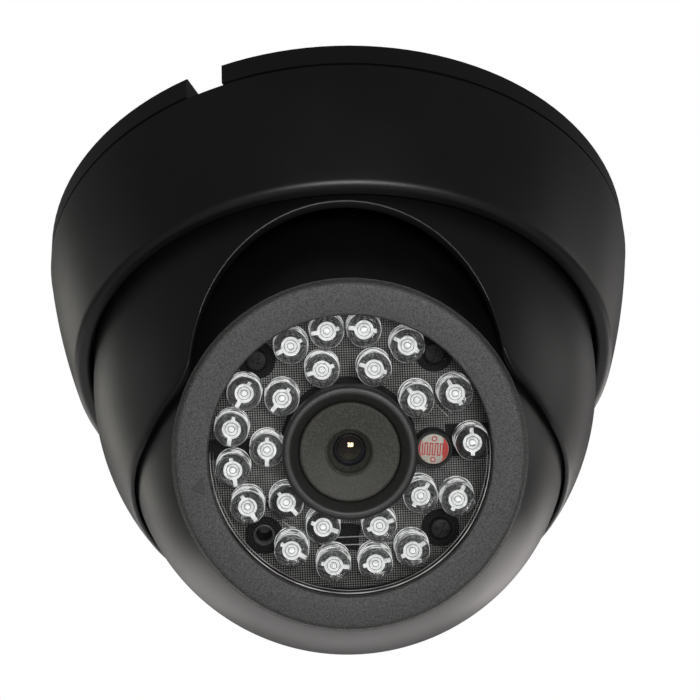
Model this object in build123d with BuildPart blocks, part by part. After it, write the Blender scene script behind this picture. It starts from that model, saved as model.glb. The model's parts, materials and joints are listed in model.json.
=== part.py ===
from build123d import *
from math import cos, radians, sin, sqrt
import os

# Dome CCTV camera with infrared lamps, hanging from a ceiling.
# Millimetres, +Z up.  The origin is the centre of the base plate's ceiling face, so the camera hangs
# below z = 0 and looks out towards -Y and down.  "Depth" is the distance below the ceiling face.

os.makedirs("parts", exist_ok=True)

# ---- Base plate -----------------------------------------------------------------------------------
BASE_R = 46.7
BASE_FLOOR = 2.5
BASE_RIM_DEPTH = 4.5
BASE_CHAMFER = 0.4
SEAM_GAP_HEIGHT = 0.3
SEAM_GAP_DEPTH = 0.5
RIM_INNER_R = 42.3
SKIRT_OUTER_R = 41.8
SKIRT_INNER_R = 40.2
SKIRT_DEPTH = 12.1
CABLE_HOLE_R = 9.0
MOUNT_HOLE_R = 2.2
MOUNT_PCD = 60.0
MOUNT_HOLE_COUNT = 3
NOTCH_ANGLE = -114.7
NOTCH_WIDTH = 6.0
NOTCH_DEPTH = 4.4
NOTCH_INNER_R = 40.0
GROMMET_R = 8.95
GROMMET_FLANGE_R = 10.5
GROMMET_FLANGE_THICKNESS = 0.65
CABLE_BORE_R = 2.6

# ---- Cover ring -----------------------------------------------------------------------------------
COVER_TOP = (46.7, -4.55)
COVER_WAIST = (45.4, -12.5)
COVER_FOOT = (42.8, -23.0)
LIP_SHOULDER = (42.05, -24.5)
LIP_FOOT = (40.6, -25.0)
OPENING_R = 39.8
OPENING_EASE = 0.45
COVER_BORE_R = 43.3
LEDGE_DEPTH = 17.0
COVER_SCREW_R = 43.9
COVER_SCREW_ANGLES = (30, 150, 270)
COVER_SCREW_SINK_R = 2.1
COVER_SCREW_SINK = 1.9
COVER_SCREW_CLEARANCE_R = 1.1
COVER_BOSS_R = 1.8
COVER_BOSS_DEPTH = 5.0
COVER_BOSS_HOLE_R = 0.95
COVER_BOSS_HOLE_DEPTH = 4.7

# ---- Turret hood, which pans ----------------------------------------------------------------------
HOOD_CENTRE_Z = -27.3
HOOD_OUTER_R = 39.2
HOOD_INNER_R = 37.6
RIM_PLANE_Z = -48.2
FLANGE_R = 42.6
FLANGE_TOP_Z = -13.0
FLANGE_BOTTOM_Z = -14.95
ARCH_R = 22.9
ARCH_CENTRE_Z = -48.3
ARCH_FILLET = 4.0
ARCH_SKIRT_NEAR = (22.0, -45.6)
ARCH_SKIRT_FAR = (36.0, -50.3)
ARCH_BELOW_Z = -60.0
PIVOT_BOSS_R = 3.6
PIVOT_BOSS_X = 35.2
PIVOT_BOSS_SKIN = 0.3

# ---- Eyeball, which tilts about X and turns about its own optical axis ------------------------------
BALL_Z = -37.45
BALL_R = 33.8
BALL_INNER_R = 31.8
BALL_SOCKET_R = 34.15
TILT_FROM_DOWN = 43.0
SPLIT_W = -1.0
BACK_W = -20.0
BACK_INNER_W = -18.0
BEZEL_W = 22.5
BEZEL_SEAM_W = 21.6
BEZEL_SEAT_R = 25.2
WINDOW_R = 20.66
GLASS_W = 21.2
GLASS_THICKNESS = 1.5
GLASS_R = 24.0
LEDGE_W = 17.9
WELL_R = 22.3
WELL_WALL = 1.5
WELL_STEP_W = 15.5
WELL_FLOOR_W = 2.5
WELL_FLOOR_THICKNESS = 1.5
WELL_FLOOR_HOLE_R = 16.0
HUB_R = 7.0
HUB_BORE_R = 5.0
HUB_END_W = -26.0
CLIP_W = -23.05
CLIP_THICKNESS = 0.9
CLIP_GROOVE_DEPTH = 0.7
SHELL_SCREW_R = 24.0
SHELL_SCREW_ANGLES = (90, 210, 330)
SHELL_BOSS_R = 2.6
SHELL_SCREW_SEAT_W = -8.4
SHELL_SCREW_SINK_R = 2.0
SHELL_SCREW_CLEARANCE_R = 1.15
THREAD_HOLE_R = 0.85
TRIANGLE_ANGLE = 189
TRIANGLE_R = 22.75
TRIANGLE_DEPTH = 0.25

# ---- Lamp board and lamps ---------------------------------------------------------------------------
LAMP_BOARD_R = 22.0
LAMP_BOARD_W = 10.3
BOARD_THICKNESS = 1.6
BOARD_HOLE_R = 9.0
LAMP_R = 2.5
LAMP_FLANGE_R = 2.6
LAMP_TIP_W = 18.9
# Each lamp's angle and radius on the board; they stand a little unevenly, as soldered by hand.
OUTER_LAMPS = (
    (-27.0, 17.7),
    (1.0, 18.2),
    (26.0, 17.7),
    (59.0, 17.7),
    (81.0, 18.0),
    (98.5, 18.0),
    (117.0, 17.7),
    (149.0, 17.7),
    (167.5, 17.7),
    (187.5, 17.5),
    (207.0, 17.3),
    (238.0, 17.3),
    (260.0, 17.5),
    (280.5, 17.5),
    (299.5, 17.8),
)
INNER_LAMPS = (
    (34.5, 12.4),
    (71.0, 12.6),
    (106.5, 12.6),
    (140.0, 12.6),
    (177.5, 12.2),
    (217.5, 12.2),
    (249.0, 12.2),
    (289.0, 12.2),
    (324.5, 12.6),
)
SENSOR_PLACE = (12.45, -0.5)
SENSOR_SLEEVE_R = 2.78
SENSOR_BORE_R = 2.38
SENSOR_R = 2.3
SENSOR_HEIGHT = 5.0
BOARD_POST_R = 18.8
BOARD_POST_ANGLES = (45, 135, 225, 315)
BOARD_SCREW_ANGLES = (45, 135, 315)
BOARD_POST_W = 3.9
SMALL_SCREW_CLEARANCE_R = 1.1

# ---- Camera electronics -----------------------------------------------------------------------------
STACK_SIDE = 32.0
STACK_HOLE = 13.3
STACK_POST_R = 2.3
SENSOR_BOARD_W = -4.0
POWER_BOARD_W = -11.0

# ---- Tilt yoke ----------------------------------------------------------------------------------------
YOKE_INNER_R = 34.15
YOKE_THICKNESS = 0.8
YOKE_HALF_WIDTH = 3.0
YOKE_BACK_W = -22.2
PIVOT_R = 2.0
PIVOT_END_X = 36.6
PIVOT_END_GAP = 0.05
PIVOT_FIT = 0.06
RUNNING_FIT = 0.06

# ---- Places and directions ----------------------------------------------------------------------------
tilt = radians(TILT_FROM_DOWN)
ball_centre = Vector(0, 0, BALL_Z)
optic_direction = Vector(0, -sin(tilt), -cos(tilt))
optic_axis = Axis(ball_centre, optic_direction)
# Local x is the object's X and local y runs along the optical axis: for profiles turned about it.
optic_section = Plane(origin=ball_centre, x_dir=(1, 0, 0), z_dir=(0, cos(tilt), -sin(tilt)))


def optic_plane(w):
    """The plane square to the optical axis at w in front of the ball's centre."""
    return Plane(origin=ball_centre + optic_direction * w, x_dir=(1, 0, 0), z_dir=optic_direction)


def chord(radius, height):
    """Radius of the circle cut from a sphere at a height from its centre."""
    return sqrt(radius**2 - height**2)


def turned(angle, radius):
    """The point at an angle and radius on a face."""
    return (radius * cos(radians(angle)), radius * sin(radians(angle)))


def on_circle(angles, radius):
    """The points at several angles on a circle."""
    return [turned(angle, radius) for angle in angles]


def sphere_arc(radius, centre, start, end):
    """A turned profile's arc on a sphere, between two heights along the axis of turning."""
    middle = (start + end) / 2
    points = [(chord(radius, height - centre), height) for height in (start, middle, end)]
    return ThreePointArc(*points)


# ======================================== Fixed to the ceiling ========================================

with BuildPart() as base_plate:
    with BuildSketch(Plane.XY):
        Circle(BASE_R)
    extrude(amount=-BASE_FLOOR)
    with BuildSketch(Plane.XY.offset(-BASE_FLOOR)):
        Circle(BASE_R)
        Circle(RIM_INNER_R, mode=Mode.SUBTRACT)
    extrude(amount=BASE_FLOOR - BASE_RIM_DEPTH)
    with BuildSketch(Plane.XY.offset(-BASE_FLOOR)):
        Circle(SKIRT_OUTER_R)
        Circle(SKIRT_INNER_R, mode=Mode.SUBTRACT)
    extrude(amount=BASE_FLOOR - SKIRT_DEPTH)
    rim_edges = base_plate.edges().filter_by(GeomType.CIRCLE).filter_by(lambda edge: edge.radius == BASE_R)
    chamfer(rim_edges.sort_by(Axis.Z)[-1], length=BASE_CHAMFER)
    # The shadow gap between the base and the cover ring.
    with BuildSketch(Plane.XY.offset(-BASE_RIM_DEPTH)):
        Circle(BASE_R + 1)
        Circle(BASE_R - SEAM_GAP_DEPTH, mode=Mode.SUBTRACT)
    extrude(amount=SEAM_GAP_HEIGHT, mode=Mode.SUBTRACT)
    with BuildSketch(Plane.XY):
        Circle(CABLE_HOLE_R)
        with PolarLocations(MOUNT_PCD / 2, MOUNT_HOLE_COUNT, start_angle=90):
            Circle(MOUNT_HOLE_R)
    extrude(amount=-BASE_FLOOR, mode=Mode.SUBTRACT)
    # Sunk holes for the screws that hold the cover ring.
    with BuildSketch(Plane.XY):
        with Locations(*on_circle(COVER_SCREW_ANGLES, COVER_SCREW_R)):
            Circle(COVER_SCREW_SINK_R)
    extrude(amount=-COVER_SCREW_SINK, mode=Mode.SUBTRACT)
    with BuildSketch(Plane.XY):
        with Locations(*on_circle(COVER_SCREW_ANGLES, COVER_SCREW_R)):
            Circle(COVER_SCREW_CLEARANCE_R)
    extrude(amount=-BASE_RIM_DEPTH, mode=Mode.SUBTRACT)
    # The notch that lets the cable out sideways.
    notch_length = BASE_R + 1 - NOTCH_INNER_R
    notch_x, notch_y = turned(NOTCH_ANGLE, NOTCH_INNER_R + notch_length / 2)
    with BuildSketch(Plane.XY):
        with Locations(Location((notch_x, notch_y, 0), (0, 0, NOTCH_ANGLE))):
            Rectangle(notch_length, NOTCH_WIDTH)
    extrude(amount=-NOTCH_DEPTH, mode=Mode.SUBTRACT)
base_plate.part.label = "base_plate"
export_step(base_plate.part, "parts/base_plate.step")

with BuildPart() as cable_grommet:
    flange_top = BASE_FLOOR + 0.02
    with BuildSketch(Plane.XY):
        Circle(GROMMET_R)
    extrude(amount=-flange_top)
    with BuildSketch(Plane.XY.offset(-flange_top)):
        Circle(GROMMET_FLANGE_R)
    extrude(amount=-GROMMET_FLANGE_THICKNESS)
    with BuildSketch(Plane.XY):
        Circle(CABLE_BORE_R)
    extrude(amount=-flange_top - GROMMET_FLANGE_THICKNESS, mode=Mode.SUBTRACT)
cable_grommet.part.label = "cable_grommet"
export_step(cable_grommet.part, "parts/cable_grommet.step")

with BuildPart() as cover_ring:
    with BuildSketch(Plane.XZ):
        with BuildLine():
            ThreePointArc(COVER_TOP, COVER_WAIST, COVER_FOOT)
            ThreePointArc(COVER_FOOT, LIP_SHOULDER, LIP_FOOT)
            Polyline(
                LIP_FOOT,
                (OPENING_R + OPENING_EASE, LIP_FOOT[1]),
                (OPENING_R, LIP_FOOT[1] + OPENING_EASE),
                (OPENING_R, -LEDGE_DEPTH),
                (COVER_BORE_R, -LEDGE_DEPTH),
                (COVER_BORE_R, COVER_TOP[1]),
                COVER_TOP,
            )
        make_face()
    revolve(axis=Axis.Z)
    with BuildSketch(Plane.XY.offset(COVER_TOP[1])):
        with Locations(*on_circle(COVER_SCREW_ANGLES, COVER_SCREW_R)):
            Circle(COVER_BOSS_R)
    extrude(amount=-COVER_BOSS_DEPTH)
    with BuildSketch(Plane.XY.offset(COVER_TOP[1])):
        with Locations(*on_circle(COVER_SCREW_ANGLES, COVER_SCREW_R)):
            Circle(COVER_BOSS_HOLE_R)
    extrude(amount=-COVER_BOSS_HOLE_DEPTH, mode=Mode.SUBTRACT)
cover_ring.part.label = "cover_ring"
export_step(cover_ring.part, "parts/cover_ring.step")


def screw(plane, places, head_r, head_height, shaft_r, length):
    """Cross-headed screws with their heads' undersides on a plane, pointing along its normal."""
    with BuildPart() as screws:
        with BuildSketch(plane):
            with Locations(*places):
                Circle(head_r)
        extrude(amount=-head_height)
        head_top = plane.offset(-head_height)
        with BuildSketch(head_top):
            with Locations(*places):
                Rectangle(head_r * 1.15, head_r * 0.26)
                Rectangle(head_r * 0.26, head_r * 1.15)
        extrude(amount=head_height * 0.55, mode=Mode.SUBTRACT)
        with BuildSketch(plane):
            with Locations(*places):
                Circle(shaft_r)
        extrude(amount=length)
    return screws.part


# The screws' plane faces down, so its y runs the other way and the angles change sign.
cover_screws = screw(
    Plane(origin=(0, 0, 0.05 - COVER_SCREW_SINK), x_dir=(1, 0, 0), z_dir=(0, 0, -1)),
    [turned(-angle, COVER_SCREW_R) for angle in COVER_SCREW_ANGLES],
    head_r=1.9,
    head_height=1.4,
    shaft_r=0.9,
    length=7.0,
)
cover_screws.label = "cover_screws"
export_step(cover_screws, "parts/cover_screws.step")

with BuildPart() as pan_seat_ring:
    with BuildSketch(Plane.XY.offset(-LEDGE_DEPTH)):
        Circle(COVER_BORE_R - 0.08)
        Circle(HOOD_OUTER_R + 0.07, mode=Mode.SUBTRACT)
    extrude(amount=LEDGE_DEPTH + FLANGE_BOTTOM_Z - 0.05)
pan_seat_ring.part.label = "pan_seat_ring"
export_step(pan_seat_ring.part, "parts/pan_seat_ring.step")

with BuildPart() as pan_friction_ring:
    with BuildSketch(Plane.XY.offset(FLANGE_TOP_Z + 0.04)):
        Circle(COVER_BORE_R - 1.2)
        Circle(SKIRT_INNER_R - 0.6, mode=Mode.SUBTRACT)
    extrude(amount=0.82)
pan_friction_ring.part.label = "pan_friction_ring"
export_step(pan_friction_ring.part, "parts/pan_friction_ring.step")

# ============================================ Pans ====================================================



def pivot_boss(side):
    """One round boss on the inside of the hood's wall, ending just under the hood's outside."""
    with BuildPart() as boss:
        with BuildSketch(Plane.YZ.offset(side * PIVOT_BOSS_X)):
            with Locations((0, BALL_Z)):
                Circle(PIVOT_BOSS_R)
        extrude(amount=side * (HOOD_OUTER_R - PIVOT_BOSS_X))
        with Locations((0, 0, HOOD_CENTRE_Z)):
            Sphere(HOOD_OUTER_R - PIVOT_BOSS_SKIN, mode=Mode.INTERSECT)
    return boss.part


pivot_bosses = [pivot_boss(side) for side in (1, -1)]

with BuildPart() as turret_hood:
    with BuildSketch(Plane.XZ):
        with BuildLine():
            Polyline(
                (HOOD_INNER_R, HOOD_CENTRE_Z),
                (HOOD_INNER_R, FLANGE_TOP_Z),
                (FLANGE_R, FLANGE_TOP_Z),
                (FLANGE_R, FLANGE_BOTTOM_Z),
                (HOOD_OUTER_R, FLANGE_BOTTOM_Z),
                (HOOD_OUTER_R, HOOD_CENTRE_Z),
            )
            sphere_arc(HOOD_OUTER_R, HOOD_CENTRE_Z, HOOD_CENTRE_Z, RIM_PLANE_Z)
            # The inside follows the hood's own sphere, then the ball's socket below where they cross.
            offset_between = HOOD_CENTRE_Z - BALL_Z
            radii_term = HOOD_INNER_R**2 - BALL_SOCKET_R**2
            crossing_z = BALL_Z + (radii_term - offset_between**2) / (-2 * offset_between)
            Line((chord(HOOD_OUTER_R, RIM_PLANE_Z - HOOD_CENTRE_Z), RIM_PLANE_Z),
                 (chord(BALL_SOCKET_R, RIM_PLANE_Z - BALL_Z), RIM_PLANE_Z))
            sphere_arc(BALL_SOCKET_R, BALL_Z, RIM_PLANE_Z, crossing_z)
            sphere_arc(HOOD_INNER_R, HOOD_CENTRE_Z, crossing_z, HOOD_CENTRE_Z)
        make_face()
    revolve(axis=Axis.Z)
    add(pivot_bosses)
    for side in (1, -1):
        with BuildSketch(Plane.YZ.offset(side * BALL_R)):
            with Locations((0, BALL_Z)):
                Circle(PIVOT_R + PIVOT_FIT)
        extrude(amount=side * (PIVOT_END_X + PIVOT_END_GAP - BALL_R), mode=Mode.SUBTRACT)
    # The arch that the ball looks out through.
    with BuildSketch(Plane.XZ):
        with Locations((0, ARCH_CENTRE_Z)):
            Circle(ARCH_R)
        with BuildLine():
            Polyline(
                (-ARCH_SKIRT_FAR[0], ARCH_SKIRT_FAR[1]),
                (-ARCH_SKIRT_NEAR[0], ARCH_SKIRT_NEAR[1]),
                ARCH_SKIRT_NEAR,
                ARCH_SKIRT_FAR,
                (ARCH_SKIRT_FAR[0], ARCH_BELOW_Z),
                (-ARCH_SKIRT_FAR[0], ARCH_BELOW_Z),
                close=True,
            )
        make_face()
        corners = vertices().filter_by(lambda corner: abs(corner.X) < ARCH_R and corner.Z > RIM_PLANE_Z)
        fillet(corners, radius=ARCH_FILLET)
    extrude(amount=60, mode=Mode.SUBTRACT)
turret_hood.part.label = "turret_hood"
export_step(turret_hood.part, "parts/turret_hood.step")

# ============================================ Tilts ===================================================

with BuildPart() as tilt_yoke:
    with BuildSketch(optic_section):
        Circle(YOKE_INNER_R + YOKE_THICKNESS)
        Circle(YOKE_INNER_R, mode=Mode.SUBTRACT)
        with Locations((0, BALL_R)):
            Rectangle(3 * BALL_R, 2 * BALL_R, mode=Mode.SUBTRACT)
        with Locations((0, YOKE_BACK_W - 10)):
            Rectangle(3 * BALL_R, 20, mode=Mode.SUBTRACT)
        with Locations((0, YOKE_BACK_W - YOKE_THICKNESS / 2)):
            Rectangle(2 * chord(YOKE_INNER_R + YOKE_THICKNESS, YOKE_BACK_W), YOKE_THICKNESS)
    extrude(amount=YOKE_HALF_WIDTH, both=True)
    with BuildSketch(optic_plane(YOKE_BACK_W - YOKE_THICKNESS)):
        Circle(HUB_R + 3.8)
    extrude(amount=YOKE_THICKNESS)
    for side in (1, -1):
        with BuildSketch(Plane.YZ.offset(side * YOKE_INNER_R)):
            with Locations((0, BALL_Z)):
                Circle(YOKE_HALF_WIDTH)
        extrude(amount=side * YOKE_THICKNESS)
        with BuildSketch(Plane.YZ.offset(side * (YOKE_INNER_R - 1))):
            with Locations((0, BALL_Z)):
                Circle(1.5)
        extrude(amount=side * 3, mode=Mode.SUBTRACT)
    with BuildSketch(optic_plane(YOKE_BACK_W - 2)):
        Circle(HUB_R + RUNNING_FIT)
    extrude(amount=4, mode=Mode.SUBTRACT)
tilt_yoke.part.label = "tilt_yoke"
export_step(tilt_yoke.part, "parts/tilt_yoke.step")

with BuildPart() as tilt_pivot_pins:
    for side in (1, -1):
        with BuildSketch(Plane.YZ.offset(side * (YOKE_INNER_R + YOKE_THICKNESS + 0.02))):
            with Locations((0, BALL_Z)):
                Circle(PIVOT_R)
        extrude(amount=side * (PIVOT_END_X - YOKE_INNER_R - YOKE_THICKNESS - 0.02))
        with BuildSketch(Plane.YZ.offset(side * (YOKE_INNER_R + 0.05))):
            with Locations((0, BALL_Z)):
                Circle(1.46)
        extrude(amount=side * 1.5)
tilt_pivot_pins.part.label = "tilt_pivot_pins"
export_step(tilt_pivot_pins.part, "parts/tilt_pivot_pins.step")

# ==================================== Turns about the optical axis ====================================

with BuildPart() as ball_front_shell:
    with BuildSketch(optic_section):
        with BuildLine():
            sphere_arc(BALL_R, 0, SPLIT_W, BEZEL_SEAM_W)
            Polyline(
                (chord(BALL_R, BEZEL_SEAM_W), BEZEL_SEAM_W),
                (BEZEL_SEAT_R, BEZEL_SEAM_W),
                (BEZEL_SEAT_R, LEDGE_W),
                (WELL_R, LEDGE_W),
                (WELL_R, WELL_FLOOR_W + WELL_FLOOR_THICKNESS),
                (WELL_FLOOR_HOLE_R, WELL_FLOOR_W + WELL_FLOOR_THICKNESS),
                (WELL_FLOOR_HOLE_R, WELL_FLOOR_W),
                (WELL_R + WELL_WALL, WELL_FLOOR_W),
                (WELL_R + WELL_WALL, WELL_STEP_W),
                (chord(BALL_INNER_R, WELL_STEP_W), WELL_STEP_W),
            )
            sphere_arc(BALL_INNER_R, 0, WELL_STEP_W, SPLIT_W)
            Line((chord(BALL_INNER_R, SPLIT_W), SPLIT_W), (chord(BALL_R, SPLIT_W), SPLIT_W))
        make_face()
    revolve(axis=optic_axis)
    # Posts that hold the lamp board, and bosses that take the shell screws.
    with BuildSketch(optic_plane(BOARD_POST_W)):
        with Locations(*on_circle(BOARD_POST_ANGLES, BOARD_POST_R)):
            Circle(2.2)
    extrude(amount=LAMP_BOARD_W - BOARD_THICKNESS - BOARD_POST_W - 0.05)
    with BuildSketch(optic_plane(SPLIT_W)):
        with Locations(*on_circle(SHELL_SCREW_ANGLES, SHELL_SCREW_R)):
            Circle(SHELL_BOSS_R)
    extrude(amount=9)
    with BuildSketch(optic_plane(WELL_FLOOR_W + 0.5)):
        with Locations(*on_circle(BOARD_POST_ANGLES, BOARD_POST_R)):
            Circle(THREAD_HOLE_R)
    extrude(amount=8, mode=Mode.SUBTRACT)
    with BuildSketch(optic_plane(SPLIT_W)):
        with Locations(*on_circle(SHELL_SCREW_ANGLES, SHELL_SCREW_R)):
            Circle(THREAD_HOLE_R + 0.05)
    extrude(amount=7.5, mode=Mode.SUBTRACT)
ball_front_shell.part.label = "ball_front_shell"
export_step(ball_front_shell.part, "parts/ball_front_shell.step")

with BuildPart() as ball_rear_shell:
    rear_split = SPLIT_W - 0.1
    with BuildSketch(optic_section):
        with BuildLine():
            sphere_arc(BALL_R, 0, rear_split, BACK_W)
            Polyline(
                (chord(BALL_R, BACK_W), BACK_W),
                (HUB_R, BACK_W),
                (HUB_R, CLIP_W),
                (HUB_R - CLIP_GROOVE_DEPTH, CLIP_W),
                (HUB_R - CLIP_GROOVE_DEPTH, CLIP_W - CLIP_THICKNESS),
                (HUB_R, CLIP_W - CLIP_THICKNESS),
                (HUB_R, HUB_END_W),
                (HUB_BORE_R, HUB_END_W),
                (HUB_BORE_R, BACK_INNER_W),
                (chord(BALL_INNER_R, BACK_INNER_W), BACK_INNER_W),
            )
            sphere_arc(BALL_INNER_R, 0, BACK_INNER_W, rear_split)
            Line((chord(BALL_INNER_R, rear_split), rear_split), (chord(BALL_R, rear_split), rear_split))
        make_face()
    revolve(axis=optic_axis)
    # Tubes for the shell screws and posts for the boards.
    post_foot_w = BACK_INNER_W - 0.5
    with BuildSketch(optic_plane(post_foot_w)):
        with Locations(*on_circle(SHELL_SCREW_ANGLES, SHELL_SCREW_R)):
            Circle(SHELL_BOSS_R)
    extrude(amount=rear_split - post_foot_w)
    with BuildSketch(optic_plane(post_foot_w)):
        with GridLocations(2 * STACK_HOLE, 2 * STACK_HOLE, 2, 2):
            Circle(STACK_POST_R)
    extrude(amount=POWER_BOARD_W - BOARD_THICKNESS - post_foot_w - 0.05)
    with BuildSketch(optic_plane(BACK_W)):
        with Locations(*on_circle(SHELL_SCREW_ANGLES, SHELL_SCREW_R)):
            Circle(SHELL_SCREW_SINK_R)
    extrude(amount=SHELL_SCREW_SEAT_W - BACK_W, mode=Mode.SUBTRACT)
    with BuildSketch(optic_plane(BACK_W)):
        with Locations(*on_circle(SHELL_SCREW_ANGLES, SHELL_SCREW_R)):
            Circle(SHELL_SCREW_CLEARANCE_R)
    extrude(amount=-BACK_W, mode=Mode.SUBTRACT)
    with BuildSketch(optic_plane(BACK_INNER_W)):
        with GridLocations(2 * STACK_HOLE, 2 * STACK_HOLE, 2, 2):
            Circle(THREAD_HOLE_R)
    extrude(amount=6, mode=Mode.SUBTRACT)
ball_rear_shell.part.label = "ball_rear_shell"
export_step(ball_rear_shell.part, "parts/ball_rear_shell.step")

ball_shell_screws = screw(
    optic_plane(SHELL_SCREW_SEAT_W - 0.05),
    on_circle(SHELL_SCREW_ANGLES, SHELL_SCREW_R),
    head_r=1.85,
    head_height=1.4,
    shaft_r=THREAD_HOLE_R,
    length=13.5,
)
ball_shell_screws.label = "ball_shell_screws"
export_step(ball_shell_screws, "parts/ball_shell_screws.step")

with BuildPart() as spin_friction_washer:
    with BuildSketch(optic_plane(YOKE_BACK_W + 0.05)):
        Circle(11.5)
        Circle(HUB_R + 0.15, mode=Mode.SUBTRACT)
    extrude(amount=BACK_W - YOKE_BACK_W - 0.1)
spin_friction_washer.part.label = "spin_friction_washer"
export_step(spin_friction_washer.part, "parts/spin_friction_washer.step")

with BuildPart() as spin_retaining_clip:
    with BuildSketch(optic_plane(CLIP_W - CLIP_THICKNESS + 0.05)):
        Circle(9.4)
        Circle(HUB_R - 0.65, mode=Mode.SUBTRACT)
        with Locations((0, -8)):
            Rectangle(7, 9, mode=Mode.SUBTRACT)
    extrude(amount=CLIP_THICKNESS - 0.12)
spin_retaining_clip.part.label = "spin_retaining_clip"
export_step(spin_retaining_clip.part, "parts/spin_retaining_clip.step")

with BuildPart() as front_bezel:
    with BuildSketch(optic_section):
        with BuildLine():
            edge_w = BEZEL_W - 0.4
            sphere_arc(BALL_R, 0, BEZEL_SEAM_W + 0.05, edge_w)
            ThreePointArc((chord(BALL_R, edge_w), edge_w), (25.28, BEZEL_W - 0.12), (24.9, BEZEL_W))
            Polyline(
                (24.9, BEZEL_W),
                (WINDOW_R + 0.25, BEZEL_W),
                (WINDOW_R, BEZEL_W - 0.25),
                (WINDOW_R, GLASS_W + 0.05),
                (GLASS_R + 0.2, GLASS_W + 0.05),
                (GLASS_R + 0.2, LEDGE_W + 0.05),
                (BEZEL_SEAT_R - 0.08, LEDGE_W + 0.05),
                (BEZEL_SEAT_R - 0.08, BEZEL_SEAM_W + 0.05),
                (chord(BALL_R, BEZEL_SEAM_W + 0.05), BEZEL_SEAM_W + 0.05),
            )
        make_face()
    revolve(axis=optic_axis)
    # A small outlined triangle marks where the bezel was lined up.
    with BuildSketch(optic_plane(BEZEL_W)):
        triangle_x, triangle_y = turned(TRIANGLE_ANGLE, TRIANGLE_R)
        with Locations(Location((triangle_x, triangle_y, 0), (0, 0, TRIANGLE_ANGLE))):
            Polygon((-0.95, -1.25), (1.0, 0), (-0.95, 1.25), align=None)
            Polygon((-0.6, -0.72), (0.5, 0), (-0.6, 0.72), align=None, mode=Mode.SUBTRACT)
    extrude(amount=-TRIANGLE_DEPTH, mode=Mode.SUBTRACT)
front_bezel.part.label = "front_bezel"
export_step(front_bezel.part, "parts/front_bezel.step")

with BuildPart() as window_glass:
    with BuildSketch(optic_plane(GLASS_W - GLASS_THICKNESS)):
        Circle(GLASS_R)
    extrude(amount=GLASS_THICKNESS)
window_glass.part.label = "window_glass"
export_step(window_glass.part, "parts/window_glass.step")

with BuildPart() as window_gasket:
    with BuildSketch(optic_plane(LEDGE_W + 0.03)):
        Circle(GLASS_R)
        Circle(WELL_R + 0.1, mode=Mode.SUBTRACT)
    extrude(amount=GLASS_W - GLASS_THICKNESS - LEDGE_W - 0.06)
window_gasket.part.label = "window_gasket"
export_step(window_gasket.part, "parts/window_gasket.step")

with BuildPart() as lamp_board:
    with BuildSketch(optic_plane(LAMP_BOARD_W - BOARD_THICKNESS)):
        Circle(LAMP_BOARD_R)
        Circle(BOARD_HOLE_R, mode=Mode.SUBTRACT)
        with Locations(*on_circle(BOARD_POST_ANGLES, BOARD_POST_R)):
            Circle(SMALL_SCREW_CLEARANCE_R, mode=Mode.SUBTRACT)
    extrude(amount=BOARD_THICKNESS)
lamp_board.part.label = "lamp_board"
export_step(lamp_board.part, "parts/lamp_board.step")

lamp_board_screws = screw(
    optic_plane(LAMP_BOARD_W + 0.03).rotated((180, 0, 0)),
    [turned(-angle, BOARD_POST_R) for angle in BOARD_SCREW_ANGLES],
    head_r=1.85,
    head_height=1.3,
    shaft_r=0.8,
    length=5.5,
)
lamp_board_screws.label = "lamp_board_screws"
export_step(lamp_board_screws, "parts/lamp_board_screws.step")


def lamps(places):
    """Clear 5 mm lamps standing on the board, with domed tips."""
    foot = LAMP_BOARD_W + 0.03
    dome = LAMP_TIP_W - LAMP_R
    with BuildPart() as bodies:
        for angle, radius in places:
            x, y = turned(angle, radius)
            root = optic_plane(0).from_local_coords((x, y, 0))
            section = Plane(origin=root, x_dir=(1, 0, 0), z_dir=(0, cos(tilt), -sin(tilt)))
            with BuildSketch(section):
                with BuildLine():
                    Polyline(
                        (0, LAMP_TIP_W),
                        (0, foot),
                        (LAMP_FLANGE_R, foot),
                        (LAMP_FLANGE_R, foot + 1.0),
                        (LAMP_R, foot + 1.0),
                        (LAMP_R, dome),
                    )
                    sphere_arc(LAMP_R, dome, dome, LAMP_TIP_W)
                make_face()
            revolve(axis=Axis(root, optic_direction))
    return bodies.part


outer_lamps = lamps(OUTER_LAMPS)
outer_lamps.label = "outer_lamps"
export_step(outer_lamps, "parts/outer_lamps.step")

inner_lamps = lamps(INNER_LAMPS)
inner_lamps.label = "inner_lamps"
export_step(inner_lamps, "parts/inner_lamps.step")

with BuildPart() as light_sensor_sleeve:
    sleeve_foot_w = LAMP_BOARD_W + 0.03
    with BuildSketch(optic_plane(sleeve_foot_w)):
        with Locations(SENSOR_PLACE):
            Circle(2.5)
    extrude(amount=1.1)
    with BuildSketch(optic_plane(LAMP_BOARD_W + 1.1)):
        with Locations(SENSOR_PLACE):
            Circle(SENSOR_SLEEVE_R)
    extrude(amount=SENSOR_HEIGHT - 0.75)
    with BuildSketch(optic_plane(LAMP_BOARD_W + 2.0)):
        with Locations(SENSOR_PLACE):
            Circle(SENSOR_BORE_R)
    extrude(amount=SENSOR_HEIGHT, mode=Mode.SUBTRACT)
light_sensor_sleeve.part.label = "light_sensor_sleeve"
export_step(light_sensor_sleeve.part, "parts/light_sensor_sleeve.step")

with BuildPart() as light_sensor_cell:
    with BuildSketch(optic_plane(LAMP_BOARD_W + 2.05)):
        with Locations(SENSOR_PLACE):
            Circle(SENSOR_R)
    extrude(amount=SENSOR_HEIGHT - 2.05)
light_sensor_cell.part.label = "light_sensor_cell"
export_step(light_sensor_cell.part, "parts/light_sensor_cell.step")

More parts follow.
